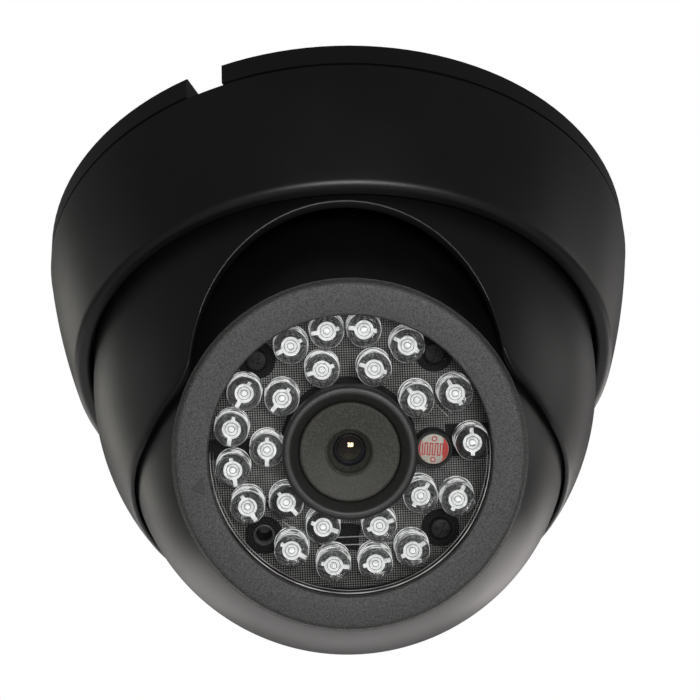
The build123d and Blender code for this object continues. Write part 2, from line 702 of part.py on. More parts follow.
with BuildPart() as lens_shroud:
    with BuildSketch(optic_section):
        with BuildLine():
            Polyline(
                (8.65, 18.6),
                (8.65, LAMP_BOARD_W + 0.03),
                (9.3, LAMP_BOARD_W + 0.03),
                (9.55, 11.6),
                (9.55, 17.4),
                (10.0, 17.9),
                (10.0, 18.6),
            )
            ThreePointArc((10.0, 18.6), (9.33, 19.3), (8.65, 18.6))
        make_face()
    revolve(axis=optic_axis)
lens_shroud.part.label = "lens_shroud"
export_step(lens_shroud.part, "parts/lens_shroud.step")

with BuildPart() as lens_holder:
    with BuildSketch(optic_plane(SENSOR_BOARD_W + 0.03)):
        RectangleRounded(16, 16, 1.5)
    extrude(amount=3)
    with BuildSketch(optic_plane(-1.5)):
        Circle(7.6)
    extrude(amount=9.3)
    with BuildSketch(optic_plane(SENSOR_BOARD_W)):
        Rectangle(12, 12)
    extrude(amount=1.8, mode=Mode.SUBTRACT)
    with BuildSketch(optic_plane(SENSOR_BOARD_W)):
        Circle(5.0)
    extrude(amount=5, mode=Mode.SUBTRACT)
    with BuildSketch(optic_plane(0)):
        Circle(6.05)
    extrude(amount=9, mode=Mode.SUBTRACT)
lens_holder.part.label = "lens_holder"
export_step(lens_holder.part, "parts/lens_holder.step")

with BuildPart() as lens_barrel:
    with BuildSketch(optic_section):
        with BuildLine():
            Polyline(
                (6.0, 0.3),
                (6.0, 10.2),
                (7.4, 10.2),
                (7.4, 17.9),
                (7.1, 18.15),
                (3.5, 17.4),
                (2.95, 16.6),
                (2.95, 14.6),
                (2.3, 14.6),
                (2.3, 12.0),
                (4.3, 12.0),
                (4.3, 0.3),
                close=True,
            )
        make_face()
    revolve(axis=optic_axis)
lens_barrel.part.label = "lens_barrel"
export_step(lens_barrel.part, "parts/lens_barrel.step")

with BuildPart() as lens_lock_ring:
    with BuildSketch(optic_plane(7.9)):
        Circle(8.2)
        Circle(6.06, mode=Mode.SUBTRACT)
        with PolarLocations(8.2, 12):
            Circle(0.45, mode=Mode.SUBTRACT)
    extrude(amount=2.1)
lens_lock_ring.part.label = "lens_lock_ring"
export_step(lens_lock_ring.part, "parts/lens_lock_ring.step")

with BuildPart() as front_lens_element:
    with BuildSketch(optic_section):
        with BuildLine():
            Polyline((0, 16.1), (0, 14.65), (2.85, 14.65), (2.85, 16.1 - 5.0 + chord(5.0, 2.85)))
            sphere_arc(5.0, 16.1 - 5.0, 16.1 - 5.0 + chord(5.0, 2.85), 16.1)
        make_face()
    revolve(axis=optic_axis)
front_lens_element.part.label = "front_lens_element"
export_step(front_lens_element.part, "parts/front_lens_element.step")

with BuildPart() as rear_lens_element:
    with BuildSketch(optic_section):
        with BuildLine():
            dome_radius = 8.0
            dome_edge = chord(dome_radius, 4.2)
            Polyline((0, 9.6), (0, 5.6), (4.2, 5.6), (4.2, 9.6 - dome_radius + dome_edge))
            sphere_arc(dome_radius, 9.6 - dome_radius, 9.6 - dome_radius + dome_edge, 9.6)
        make_face()
    revolve(axis=optic_axis)
rear_lens_element.part.label = "rear_lens_element"
export_step(rear_lens_element.part, "parts/rear_lens_element.step")

with BuildPart() as infrared_filter:
    with BuildSketch(optic_plane(-1.6)):
        Circle(4.9)
    extrude(amount=0.55)
infrared_filter.part.label = "infrared_filter"
export_step(infrared_filter.part, "parts/infrared_filter.step")

with BuildPart() as image_sensor:
    with BuildSketch(optic_plane(SENSOR_BOARD_W + 0.03)):
        Rectangle(9.0, 8.0)
    extrude(amount=1.2)
image_sensor.part.label = "image_sensor"
export_step(image_sensor.part, "parts/image_sensor.step")


def stack_board(front_w):
    """A square circuit board with a corner hole at each post, its front face at front_w."""
    with BuildPart() as board:
        with BuildSketch(optic_plane(front_w - BOARD_THICKNESS)):
            RectangleRounded(STACK_SIDE, STACK_SIDE, 1.5)
            with GridLocations(2 * STACK_HOLE, 2 * STACK_HOLE, 2, 2):
                Circle(SMALL_SCREW_CLEARANCE_R, mode=Mode.SUBTRACT)
        extrude(amount=BOARD_THICKNESS)
    return board.part


sensor_board = stack_board(SENSOR_BOARD_W)
sensor_board.label = "sensor_board"
export_step(sensor_board, "parts/sensor_board.step")

power_board = stack_board(POWER_BOARD_W)
power_board.label = "power_board"
export_step(power_board, "parts/power_board.step")

with BuildPart() as board_spacers:
    with BuildSketch(optic_plane(POWER_BOARD_W + 0.03)):
        with GridLocations(2 * STACK_HOLE, 2 * STACK_HOLE, 2, 2):
            RegularPolygon(radius=STACK_POST_R, side_count=6)
            Circle(SMALL_SCREW_CLEARANCE_R, mode=Mode.SUBTRACT)
    extrude(amount=SENSOR_BOARD_W - BOARD_THICKNESS - POWER_BOARD_W - 0.06)
board_spacers.part.label = "board_spacers"
export_step(board_spacers.part, "parts/board_spacers.step")

board_stack_screws = screw(
    optic_plane(SENSOR_BOARD_W + 0.03).rotated((180, 0, 0)),
    [(x * STACK_HOLE, y * STACK_HOLE) for x in (1, -1) for y in (1, -1)],
    head_r=1.85,
    head_height=1.3,
    shaft_r=0.8,
    length=12.5,
)
board_stack_screws.label = "board_stack_screws"
export_step(board_stack_screws, "parts/board_stack_screws.step")

with BuildPart() as sensor_board_chips:
    with BuildSketch(optic_plane(SENSOR_BOARD_W - BOARD_THICKNESS - 0.03)):
        Rectangle(10, 10)
        with Locations((-10.2, 4), (10.2, -3)):
            Rectangle(5, 6)
    extrude(amount=-1.1)
sensor_board_chips.part.label = "sensor_board_chips"
export_step(sensor_board_chips.part, "parts/sensor_board_chips.step")

with BuildPart() as power_board_coil:
    with BuildSketch(optic_plane(POWER_BOARD_W - BOARD_THICKNESS - 0.03)):
        with Locations((-8, 0)):
            Circle(3.6)
    extrude(amount=-4)
power_board_coil.part.label = "power_board_coil"
export_step(power_board_coil.part, "parts/power_board_coil.step")

with BuildPart() as power_board_capacitors:
    with BuildSketch(optic_plane(POWER_BOARD_W + 0.03)):
        with Locations((-6, -5), (6, -5), (0, 7)):
            Circle(2.5)
    extrude(amount=4.2)
power_board_capacitors.part.label = "power_board_capacitors"
export_step(power_board_capacitors.part, "parts/power_board_capacitors.step")

with BuildPart() as camera_cable_socket:
    with BuildSketch(optic_plane(POWER_BOARD_W - BOARD_THICKNESS - 0.03)):
        with Locations((6.5, 0)):
            Rectangle(4.5, 12)
    extrude(amount=-3.4)
    with BuildSketch(optic_plane(POWER_BOARD_W - BOARD_THICKNESS - 3.43)):
        with Locations((6.5, 0)):
            Rectangle(3.1, 10.6)
    extrude(amount=2.6, mode=Mode.SUBTRACT)
camera_cable_socket.part.label = "camera_cable_socket"
export_step(camera_cable_socket.part, "parts/camera_cable_socket.step")

# The lamp lead runs from the back of the lamp board, round the sensor board, to the power board.
LEAD_R = 1.1
LAMP_PLUG_Y = 13.0
POWER_PLUG_Y = 15.2
LAMP_PLUG_W = 5.6
LEAD_SIDE_Y = 20.1
LEAD_BACK_W = -9.2
LEAD_BEND_RADII = (2.6, 2.2, 1.5)
lead_points = [
    (0, LAMP_PLUG_Y, LAMP_PLUG_W),
    (0, LAMP_PLUG_Y, -0.6),
    (0, LEAD_SIDE_Y, -4.6),
    (0, LEAD_SIDE_Y, LEAD_BACK_W),
    (0, POWER_PLUG_Y + 1.6, LEAD_BACK_W),
]

with BuildPart() as lamp_lead:
    lead_corners = [optic_plane(0).from_local_coords(point) for point in lead_points]
    with BuildLine() as lead_route:
        FilletPolyline(*lead_corners, radius=LEAD_BEND_RADII)
    with BuildSketch(optic_plane(LAMP_PLUG_W)):
        with Locations((0, LAMP_PLUG_Y)):
            Circle(LEAD_R)
    sweep(path=lead_route.line)
lamp_lead.part.label = "lamp_lead"
export_step(lamp_lead.part, "parts/lamp_lead.step")

with BuildPart() as lamp_lead_plugs:
    with BuildSketch(optic_plane(LAMP_PLUG_W)):
        with Locations((0, LAMP_PLUG_Y)):
            Rectangle(7.5, 3.4)
    extrude(amount=3.05)
    with BuildSketch(optic_plane(POWER_BOARD_W + 0.03)):
        with Locations((0, POWER_PLUG_Y - 1.4)):
            Rectangle(7.5, 6.0)
    extrude(amount=3.4)
lamp_lead_plugs.part.label = "lamp_lead_plugs"
export_step(lamp_lead_plugs.part, "parts/lamp_lead_plugs.step")
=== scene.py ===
import json
from math import asin, atan2, cos, pi, radians, sin, sqrt, tan

import bmesh
import bpy
from mathutils import Matrix, Vector


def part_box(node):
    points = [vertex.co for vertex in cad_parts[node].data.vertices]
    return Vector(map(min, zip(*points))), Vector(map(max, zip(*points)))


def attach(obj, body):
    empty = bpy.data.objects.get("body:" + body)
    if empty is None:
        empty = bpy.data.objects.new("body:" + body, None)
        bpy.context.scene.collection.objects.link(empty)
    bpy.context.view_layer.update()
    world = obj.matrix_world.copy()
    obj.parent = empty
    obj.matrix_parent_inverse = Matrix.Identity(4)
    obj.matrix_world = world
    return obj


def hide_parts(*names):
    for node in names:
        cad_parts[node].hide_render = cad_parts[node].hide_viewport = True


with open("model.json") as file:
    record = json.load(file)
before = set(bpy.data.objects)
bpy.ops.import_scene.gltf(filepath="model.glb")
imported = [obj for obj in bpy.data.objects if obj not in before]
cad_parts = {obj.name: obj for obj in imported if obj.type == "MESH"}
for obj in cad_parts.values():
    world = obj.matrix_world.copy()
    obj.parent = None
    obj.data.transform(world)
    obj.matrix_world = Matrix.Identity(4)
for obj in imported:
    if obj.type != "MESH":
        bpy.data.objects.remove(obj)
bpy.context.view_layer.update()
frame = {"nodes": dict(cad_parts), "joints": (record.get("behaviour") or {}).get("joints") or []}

# A dome CCTV camera hanging from a ceiling.  Shapes are drawn in millimetres, either in the row frame
# or in the eye frame, whose origin is the ball's centre and whose z, written w, is the optical axis.
MM = 0.001
SEGMENTS = 192

joints = {joint["name"]: joint for joint in frame["joints"]}
BALL_CENTRE = Vector(joints["tilt"]["pos_m"])
OPTIC = Vector(joints["spin"]["axis"]).normalized()
SIDEWAYS = Vector((1, 0, 0))
ROW = Matrix.Identity(4)
EYE = Matrix((SIDEWAYS, OPTIC.cross(SIDEWAYS), OPTIC)).transposed().to_4x4()
EYE.translation = BALL_CENTRE


def eye_extent(node):
    """A CAD node's largest radius and its lowest and highest w in the eye frame, in millimetres."""
    inverse = EYE.inverted()
    points = [(inverse @ vertex.co) / MM for vertex in frame["nodes"][node].data.vertices]
    radius = max(Vector((point.x, point.y)).length for point in points)
    return radius, min(point.z for point in points), max(point.z for point in points)


def row_radius(node):
    """A CAD node's radius about the row frame's axis, in millimetres."""
    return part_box(node)[1].x / MM


# ---- Driving dimensions, from the frame ----
BASE_R = row_radius("base_plate")
BALL_R, BALL_SPLIT_W, BEZEL_SEAM_W = eye_extent("ball_front_shell")
BALL_BACK_SPLIT_W = eye_extent("ball_rear_shell")[2]
BEZEL_W = eye_extent("front_bezel")[2]
GLASS_R, GLASS_BACK_W, GLASS_W = eye_extent("window_glass")
BOARD_R, BOARD_BACK_W, BOARD_W = eye_extent("lamp_board")
LAMP_TIP_W = eye_extent("outer_lamps")[2]
SCREW_FOOT_W, SCREW_W = eye_extent("lamp_board_screws")[1:]
SHROUD_W = eye_extent("lens_shroud")[2]
BARREL_W = eye_extent("lens_barrel")[2]
LIP_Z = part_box("cover_ring")[0].z / MM
COVER_TOP_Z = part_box("cover_ring")[1].z / MM
HOOD_RIM_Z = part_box("turret_hood")[0].z / MM
HOOD_TOP_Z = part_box("turret_hood")[1].z / MM
FLANGE_R = row_radius("turret_hood")
BALL_Z = BALL_CENTRE.z / MM

# ---- Shapes that the frame does not give ----
WINDOW_R = 20.66
WELL_R = 22.3
LEDGE_W = 17.9
COVER_WAIST = (45.4, -12.5)
COVER_FOOT = (42.8, -23.0)
COVER_BORE_R = 43.3
COVER_LEDGE_Z = -17.0
OPENING_R = 39.8
HOOD_CENTRE_Z = -27.3
HOOD_OUTER_R = 39.2
HOOD_INNER_R = 37.6
FLANGE_BOTTOM_Z = -14.95
SOCKET_R = 34.15
ARCH_R = 22.9
ARCH_CENTRE_Z = -48.3
ARCH_FILLET = 4.0
ARCH_SKIRT = ((22.0, -45.6), (36.0, -50.3))
BALL_INNER_R = 31.8
BALL_BACK_W = -20.0
WELL_FLOOR_W = 4.0
WELL_BACK_W = 2.5
WELL_INNER_R = 16.0
WELL_OUTER_R = 23.8
WELL_STEP_W = 15.5
HUB_R = 7.0
HUB_BORE_R = 5.0
HUB_END_W = -26.0
CLIP_GROOVE = (6.3, -23.95, -23.05)
BEZEL_BACK_R = 25.2
LAMP_R = 2.5
LAMP_FLANGE_R = 2.6
LAMP_DISC_W = 16.1
# Each lamp's angle and radius on the board.
OUTER_LAMPS = (
    (-27.0, 17.7),
    (1.0, 18.2),
    (26.0, 17.7),
    (59.0, 17.7),
    (81.0, 18.0),
    (98.5, 18.0),
    (117.0, 17.7),
    (149.0, 17.7),
    (167.5, 17.7),
    (187.5, 17.5),
    (207.0, 17.3),
    (238.0, 17.3),
    (260.0, 17.5),
    (280.5, 17.5),
    (299.5, 17.8),
)
INNER_LAMPS = (
    (34.5, 12.4),
    (71.0, 12.6),
    (106.5, 12.6),
    (140.0, 12.6),
    (177.5, 12.2),
    (217.5, 12.2),
    (249.0, 12.2),
    (289.0, 12.2),
    (324.5, 12.6),
)
# Each bare strip's angle, inner and outer radius and width.
BARE_STRIPS = (
    (0, 14.5, 21.0, 5.0),
    (180, 14.0, 21.0, 3.0),
    (218, 10.5, 15.5, 3.4),
    (262, 12.0, 16.0, 6.0),
)
# The two ends of each fine line on the board.
BOARD_LINES = (
    ((-4.6, -14.1), (5.2, -14.1)),
    ((-3.0, -15.3), (6.6, -15.3)),
    ((9.0, 12.9), (10.2, 11.9)),
    ((12.0, 12.3), (14.9, 12.3)),
    ((13.4, 5.4), (15.0, 3.6)),
    ((14.0, 5.9), (15.6, 4.1)),
    ((-12.6, -8.0), (-11.0, -9.6)),
    ((-10.4, -11.3), (-8.2, -13.0)),
)
BOARD_SCREWS_R = 18.8
BOARD_SCREW_ANGLES = (45, 135, 315)
EMPTY_HOLE_ANGLE = 225
TRIANGLE_RADIUS = 22.75
TRIANGLE_ANGLE = 189
SCREW_HEAD_R = 1.7
SCREW_SHAFT_R = 0.7
POST_FOOT_W = 3.9

SENSOR_CENTRE = (12.45, -0.5)
SENSOR_R = 2.3
SENSOR_SLEEVE_R = 2.78
SENSOR_HEIGHT = 5.0
SENSOR_TURN = -6


# ---- Mesh tools ----


def chord(radius, height):
    """Radius of the circle cut from a sphere at a height from its centre."""
    return sqrt(max(radius**2 - height**2, 0.0))


def polar(radius, angle):
    return (radius * cos(radians(angle)), radius * sin(radians(angle)))


def sphere_arc(radius, centre, start, end, steps=24):
    """Points (r, height) on a sphere between two heights, evenly spaced by angle."""
    first = asin(max(-1.0, min(1.0, (start - centre) / radius)))
    last = asin(max(-1.0, min(1.0, (end - centre) / radius)))
    angles = [first + (last - first) * step / steps for step in range(steps + 1)]
    return [(radius * cos(angle), centre + radius * sin(angle)) for angle in angles]


def rounded(corners, steps=5):
    """A closed outline of (r, height, rounding) corners, as plain points with arcs at the roundings."""
    outline = []
    count = len(corners)
    for index, (r, height, rounding) in enumerate(corners):
        here = Vector((r, height))
        if rounding <= 0:
            outline.append((r, height))
            continue
        back = Vector(corners[index - 1][:2]) - here
        ahead = Vector(corners[(index + 1) % count][:2]) - here
        half = back.angle(ahead) / 2
        reach = min(rounding / tan(half), back.length * 0.49, ahead.length * 0.49)
        radius = reach * tan(half)
        centre = here + (back.normalized() + ahead.normalized()).normalized() * (radius / sin(half))
        start = here + back.normalized() * reach - centre
        end = here + ahead.normalized() * reach - centre
        sweep = start.angle_signed(end)
        for step in range(steps + 1):
            turn = Matrix.Rotation(-sweep * step / steps, 2)
            outline.append(tuple(centre + turn @ start))
    return outline


def lathe(outline, segments=SEGMENTS, centre=(0.0, 0.0), closed=True):
    """Vertices and faces of an outline turned about an axis through centre."""
    vertices = []
    rings = []
    for r, height in outline:
        if r < 1e-6:
            rings.append([len(vertices)])
            vertices.append((centre[0], centre[1], height))
            continue
        rings.append(list(range(len(vertices), len(vertices) + segments)))
        for segment in range(segments):
            x, y = polar(r, 360 * segment / segments)
            vertices.append((centre[0] + x, centre[1] + y, height))
    faces = []
    pairs = list(zip(rings, rings[1:]))
    if closed and len(rings[0]) > 1:
        pairs.append((rings[-1], rings[0]))
    for low, high in pairs:
        for segment in range(segments):
            following = (segment + 1) % segments
            if len(low) == 1 and len(high) == 1:
                continue
            if len(low) == 1:
                faces.append((low[0], high[following], high[segment]))
            elif len(high) == 1:
                faces.append((low[segment], low[following], high[0]))
            else:
                faces.append((low[segment], low[following], high[following], high[segment]))
    return vertices, faces


def prism(outline, bottom, top):
    """Vertices and faces of a flat outline raised between two heights."""
    count = len(outline)
    vertices = [(x, y, bottom) for x, y in outline] + [(x, y, top) for x, y in outline]
    faces = [tuple(reversed(range(count))), tuple(range(count, 2 * count))]
    for index in range(count):
        following = (index + 1) % count
        faces.append((index, following, count + following, count + index))
    return vertices, faces


def bar(start, end, width, bottom, top):
    """A straight bar between two points of a face, as a prism."""
    along = (Vector(end) - Vector(start)).normalized()
    across = Vector((-along.y, along.x)) * width / 2
    corners = [Vector(start) - across, Vector(end) - across, Vector(end) + across, Vector(start) + across]
    return prism([tuple(corner) for corner in corners], bottom, top)


def turned(shape, angle, centre=(0.0, 0.0)):
    """A shape turned about the axis and then moved to a centre."""
    vertices, faces = shape
    spin = Matrix.Rotation(radians(angle), 3, "Z")
    moved = [spin @ Vector(vertex) + Vector((centre[0], centre[1], 0)) for vertex in vertices]
    return [tuple(vertex) for vertex in moved], faces


def joined(shapes):
    vertices = []
    faces = []
    for shape_vertices, shape_faces in shapes:
        start = len(vertices)
        vertices.extend(shape_vertices)
        faces.extend(tuple(start + index for index in face) for face in shape_faces)
    return vertices, faces


def piece(name, shape, place, body, material, replaces=(), sharp=32, bevel=0.0):
    """A new piece of the visual model, riding on a body, with its flat coordinates kept as UVs."""
    vertices, faces = shape
    mesh = bpy.data.meshes.new(name)
    mesh.from_pydata([Vector(vertex) for vertex in vertices], [], faces)
    builder = bmesh.new()
    builder.from_mesh(mesh)
    bmesh.ops.recalc_face_normals(builder, faces=builder.faces)
    if bevel > 0:
        limit = radians(sharp)
        edges = [edge for edge in builder.edges if edge.is_manifold and edge.calc_face_angle() > limit]
        bmesh.ops.bevel(
            builder, geom=edges, offset=bevel, segments=3, profile=0.5, affect="EDGES", clamp_overlap=True
        )
    layer = builder.loops.layers.uv.new("flat")
    for face in builder.faces:
        for loop in face.loops:
            loop[layer].uv = (loop.vert.co.x, loop.vert.co.y)
    builder.transform(place @ Matrix.Scale(MM, 4))
    builder.to_mesh(mesh)
    builder.free()
    mesh.shade_smooth()
    mesh.set_sharp_from_angle(angle=radians(sharp))
    made = bpy.data.objects.new(name, mesh)
    bpy.context.scene.collection.objects.link(made)
    made.data.materials.append(material)
    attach(made, body)
    if replaces:
        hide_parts(*replaces)
    return made


# ---- Materials ----


class Surface:
    """A Principled material with short calls for the nodes it needs."""

    def __init__(self, name, **sockets):
        self.material = bpy.data.materials.new(name)
        self.material.use_nodes = True
        self.tree = self.material.node_tree
        self.shader = self.tree.nodes["Principled BSDF"]
        self.coordinates = self.tree.nodes.new("ShaderNodeTexCoord")
        self.bump_out = None
        for socket, value in sockets.items():
            self.shader.inputs[socket.replace("_", " ")].default_value = value

    def noise(self, scale, detail=3.0, roughness=0.5, coordinates="Object"):
        node = self.tree.nodes.new("ShaderNodeTexNoise")
        node.inputs["Scale"].default_value = scale
        node.inputs["Detail"].default_value = detail
        node.inputs["Roughness"].default_value = roughness
        self.tree.links.new(self.coordinates.outputs[coordinates], node.inputs["Vector"])
        return node.outputs["Fac"]

    def cells(self, scale, feature="F1"):
        node = self.tree.nodes.new("ShaderNodeTexVoronoi")
        node.feature = feature
        node.inputs["Scale"].default_value = scale
        self.tree.links.new(self.coordinates.outputs["Object"], node.inputs["Vector"])
        return node.outputs["Distance"]

    def spread(self, source, low, high, out_low=0.0, out_high=1.0):
        node = self.tree.nodes.new("ShaderNodeMapRange")
        limits = {"From Min": low, "From Max": high, "To Min": out_low, "To Max": out_high}
        for socket, value in limits.items():
            node.inputs[socket].default_value = value
        self.tree.links.new(source, node.inputs["Value"])
        return node.outputs["Result"]

    def blend(self, source, low_colour, high_colour):
        node = self.tree.nodes.new("ShaderNodeMix")
        node.data_type = "RGBA"
        node.inputs["A"].default_value = (*low_colour, 1.0)
        node.inputs["B"].default_value = (*high_colour, 1.0)
        self.tree.links.new(source, node.inputs["Factor"])
        return node.outputs["Result"]

    def maths(self, operation, first, second=None):
        node = self.tree.nodes.new("ShaderNodeMath")
        node.operation = operation
        for socket, value in zip(node.inputs, (first, second)):
            if value is None:
                continue
            if isinstance(value, (int, float)):
                socket.default_value = value
            else:
                self.tree.links.new(value, socket)
        return node.outputs["Value"]

    def feed(self, source, socket):
        self.tree.links.new(source, self.shader.inputs[socket])

    def paint(self, source, low_colour, high_colour):
        """Colours the surface between two tones, as the source goes from 0 to 1."""
        self.feed(self.blend(source, low_colour, high_colour), "Base Color")

    def bump(self, source, depth, strength=1.0):
        """Adds a layer of relief, its depth in metres, on top of any before it."""
        node = self.tree.nodes.new("ShaderNodeBump")
        node.inputs["Distance"].default_value = depth
        node.inputs["Strength"].default_value = strength
        self.tree.links.new(source, node.inputs["Height"])
        if self.bump_out is not None:
            self.tree.links.new(self.bump_out, node.inputs["Normal"])
        self.bump_out = node.outputs["Normal"]
        self.feed(self.bump_out, "Normal")


def satin_black_plastic():
    surface = Surface("satin_black_plastic", IOR=1.5)
    mottle = surface.noise(60, detail=4)
    grain = surface.noise(5200, detail=2, roughness=0.6)
    dust = surface.cells(900)
    broad = surface.spread(mottle, 0.3, 0.7)
    tone = surface.blend(broad, (0.0028, 0.0028, 0.0027), (0.0048, 0.0047, 0.0045))
    speck = surface.spread(dust, 0.0, 0.035, 1.0, 0.0)
    colour = surface.tree.nodes.new("ShaderNodeMix")
    colour.data_type = "RGBA"
    colour.inputs["B"].default_value = (0.06, 0.057, 0.05, 1.0)
    surface.tree.links.new(surface.maths("MULTIPLY", speck, 0.5), colour.inputs["Factor"])
    surface.tree.links.new(tone, colour.inputs["A"])
    surface.feed(colour.outputs["Result"], "Base Color")
    surface.feed(surface.spread(mottle, 0.25, 0.75, 0.36, 0.44), "Roughness")
    surface.bump(grain, 0.000012, 0.5)
    return surface.material


def spark_black_plastic():
    surface = Surface("spark_black_plastic", IOR=1.5)
    pits = surface.noise(3700, detail=3, roughness=0.65)
    fine = surface.noise(8000, detail=2)
    coarse_share = surface.maths("MULTIPLY", pits, 0.65)
    fine_share = surface.maths("MULTIPLY", fine, 0.35)
    both = surface.maths("ADD", coarse_share, fine_share)
    surface.paint(surface.spread(both, 0.38, 0.64), (0.022, 0.022, 0.022), (0.092, 0.092, 0.089))
    surface.feed(surface.spread(both, 0.35, 0.65, 0.62, 0.42), "Roughness")
    surface.bump(both, 0.00009, 0.9)
    return surface.material


def lens_black():
    surface = Surface("lens_black", IOR=1.45)
    grain = surface.noise(3600, detail=3, roughness=0.7)
    speck = surface.spread(surface.cells(2200), 0.0, 0.16, 1.0, 0.0)
    grain_share = surface.spread(grain, 0.45, 0.75, 0.0, 0.45)
    mixed = surface.maths("ADD", grain_share, surface.maths("MULTIPLY", speck, 0.35))
    surface.paint(mixed, (0.034, 0.034, 0.029), (0.24, 0.23, 0.175))
    surface.feed(surface.spread(grain, 0.3, 0.7, 0.5, 0.65), "Roughness")
    surface.bump(grain, 0.00004, 0.6)
    return surface.material


def soft_black(name, tone, low, high, relief=0.00001, scale=3000, ior=1.5):
    surface = Surface(name, IOR=ior)
    grain = surface.noise(scale, detail=3)
    lighter = tuple(value * 1.6 for value in tone)
    surface.paint(surface.spread(grain, 0.3, 0.7), tone, lighter)
    surface.feed(surface.spread(surface.noise(120), 0.3, 0.7, low, high), "Roughness")
    surface.bump(grain, relief, 0.5)
    return surface.material


def metal(name, colour, low, high, scale=900):
    surface = Surface(name, Metallic=1.0)
    grain = surface.noise(scale, detail=4, roughness=0.6)
    darker = tuple(value * 0.78 for value in colour)
    surface.paint(surface.spread(grain, 0.3, 0.7), darker, colour)
    surface.feed(surface.spread(grain, 0.3, 0.7, low, high), "Roughness")
    surface.bump(grain, 0.000006, 0.4)
    return surface.material


def clear_window():
    """Nearly all see-through, so that only a faint smudge of it shows."""
    surface = Surface("clear_window", Alpha=0.04, IOR=1.5)
    smudge = surface.noise(90, detail=5)
    surface.paint(smudge, (0.02, 0.02, 0.02), (0.04, 0.04, 0.04))
    surface.feed(surface.spread(smudge, 0.3, 0.7, 0.02, 0.06), "Roughness")
    return surface.material


def glass_edge_highlight():
    surface = Surface("glass_edge_highlight", IOR=1.52)
    wave = surface.noise(260, detail=3)
    # The pale tones are a painted highlight where the light catches the window's lower edge.
    surface.paint(surface.spread(wave, 0.3, 0.7), (0.25, 0.25, 0.25), (0.8, 0.8, 0.78))
    surface.feed(surface.spread(wave, 0.3, 0.7, 0.08, 0.2), "Roughness")
    return surface.material


def lamp_epoxy():
    surface = Surface("lamp_epoxy", Transmission_Weight=0.95, IOR=1.5)
    flow = surface.noise(700, detail=2)
    surface.paint(flow, (0.93, 0.95, 0.95), (1.0, 1.0, 1.0))
    surface.feed(surface.spread(flow, 0.3, 0.7, 0.0, 0.03), "Roughness")
    surface.bump(flow, 0.00001, 0.25)
    return surface.material


def lens_glass():
    surface = Surface("lens_glass", IOR=1.7, Coat_Weight=1.0, Coat_Roughness=0.02)
    surface.shader.inputs["Thin Film Thickness"].default_value = 420
    surface.shader.inputs["Thin Film IOR"].default_value = 1.38
    bloom = surface.noise(500, detail=2)
    surface.paint(surface.spread(bloom, 0.35, 0.65), (0.004, 0.003, 0.008), (0.016, 0.01, 0.02))
    surface.feed(surface.spread(bloom, 0.3, 0.7, 0.03, 0.06), "Roughness")
    return surface.material


def board_mask():
    """Black solder mask over a fine grid of copper dots; the grid's pitch is in millimetres."""
    pitch = 0.36
    surface = Surface("board_mask", IOR=1.35)
    split = surface.tree.nodes.new("ShaderNodeSeparateXYZ")
    surface.tree.links.new(surface.coordinates.outputs["UV"], split.inputs["Vector"])
    waves = []
    for axis in ("X", "Y"):
        phase = surface.maths("MULTIPLY", split.outputs[axis], 2 * pi / pitch)
        waves.append(surface.maths("COSINE", phase))
    hole = surface.spread(surface.maths("ADD", waves[0], waves[1]), 0.0, 0.8)
    uneven = surface.spread(surface.noise(800, detail=3), 0.3, 0.7, 0.55, 1.0)
    dots = surface.maths("MULTIPLY", hole, uneven)
    surface.paint(dots, (0.008, 0.0085, 0.008), (0.34, 0.34, 0.33))
    surface.feed(surface.spread(surface.noise(150), 0.3, 0.7, 0.4, 0.5), "Roughness")
    surface.bump(hole, 0.00002, 0.6)
    return surface.material


def circuit_board():
    surface = Surface("green_circuit_board", IOR=1.5, Coat_Weight=0.3)
    tracks = surface.cells(420, "DISTANCE_TO_EDGE")
    surface.paint(surface.spread(tracks, 0.02, 0.06), (0.02, 0.19, 0.07), (0.008, 0.09, 0.03))
    surface.feed(surface.spread(surface.noise(200), 0.3, 0.7, 0.28, 0.42), "Roughness")
    surface.bump(tracks, 0.00002, 0.5)
    return surface.material


def coloured(name, low_colour, high_colour, low, high, scale=1500, relief=0.00001):
    surface = Surface(name, IOR=1.5)
    grain = surface.noise(scale, detail=4, roughness=0.6)
    surface.paint(surface.spread(grain, 0.32, 0.68), low_colour, high_colour)
    surface.feed(surface.spread(grain, 0.3, 0.7, low, high), "Roughness")
    surface.bump(grain, relief, 0.5)
    return surface.material


def glowing_white():
    """The lamp's white disc; some emission stands in for the light that the clear dome gathers on it."""
    surface = Surface("lamp_reflector", Emission_Strength=0.55)
    grain = surface.noise(3000, detail=3)
    cloud = surface.spread(surface.noise(2400, detail=2), 0.38, 0.58)
    mottle = surface.blend(cloud, (0.68, 0.69, 0.69), (1.0, 1.0, 0.99))
    surface.feed(mottle, "Base Color")
    surface.feed(mottle, "Emission Color")
    surface.feed(surface.spread(grain, 0.3, 0.7, 0.35, 0.5), "Roughness")
    surface.bump(grain, 0.00001, 0.5)
    return surface.material


def glowing_painted_highlight_rim():
    """Painted highlights: pale arcs on the lamp's body, whose pale colour and some emission stand in for
    the light that the clear body gathers.
    """
    surface = Surface("lamp_painted_highlight_rim", Emission_Strength=0.36)
    patches = surface.noise(520, detail=2)
    highlight_streaks = surface.spread(patches, 0.36, 0.54)
    tone = surface.blend(highlight_streaks, (0.08, 0.085, 0.085), (0.95, 0.96, 0.95))
    surface.feed(tone, "Base Color")
    surface.feed(tone, "Emission Color")
    surface.feed(surface.spread(patches, 0.3, 0.7, 0.12, 0.3), "Roughness")
    return surface.material


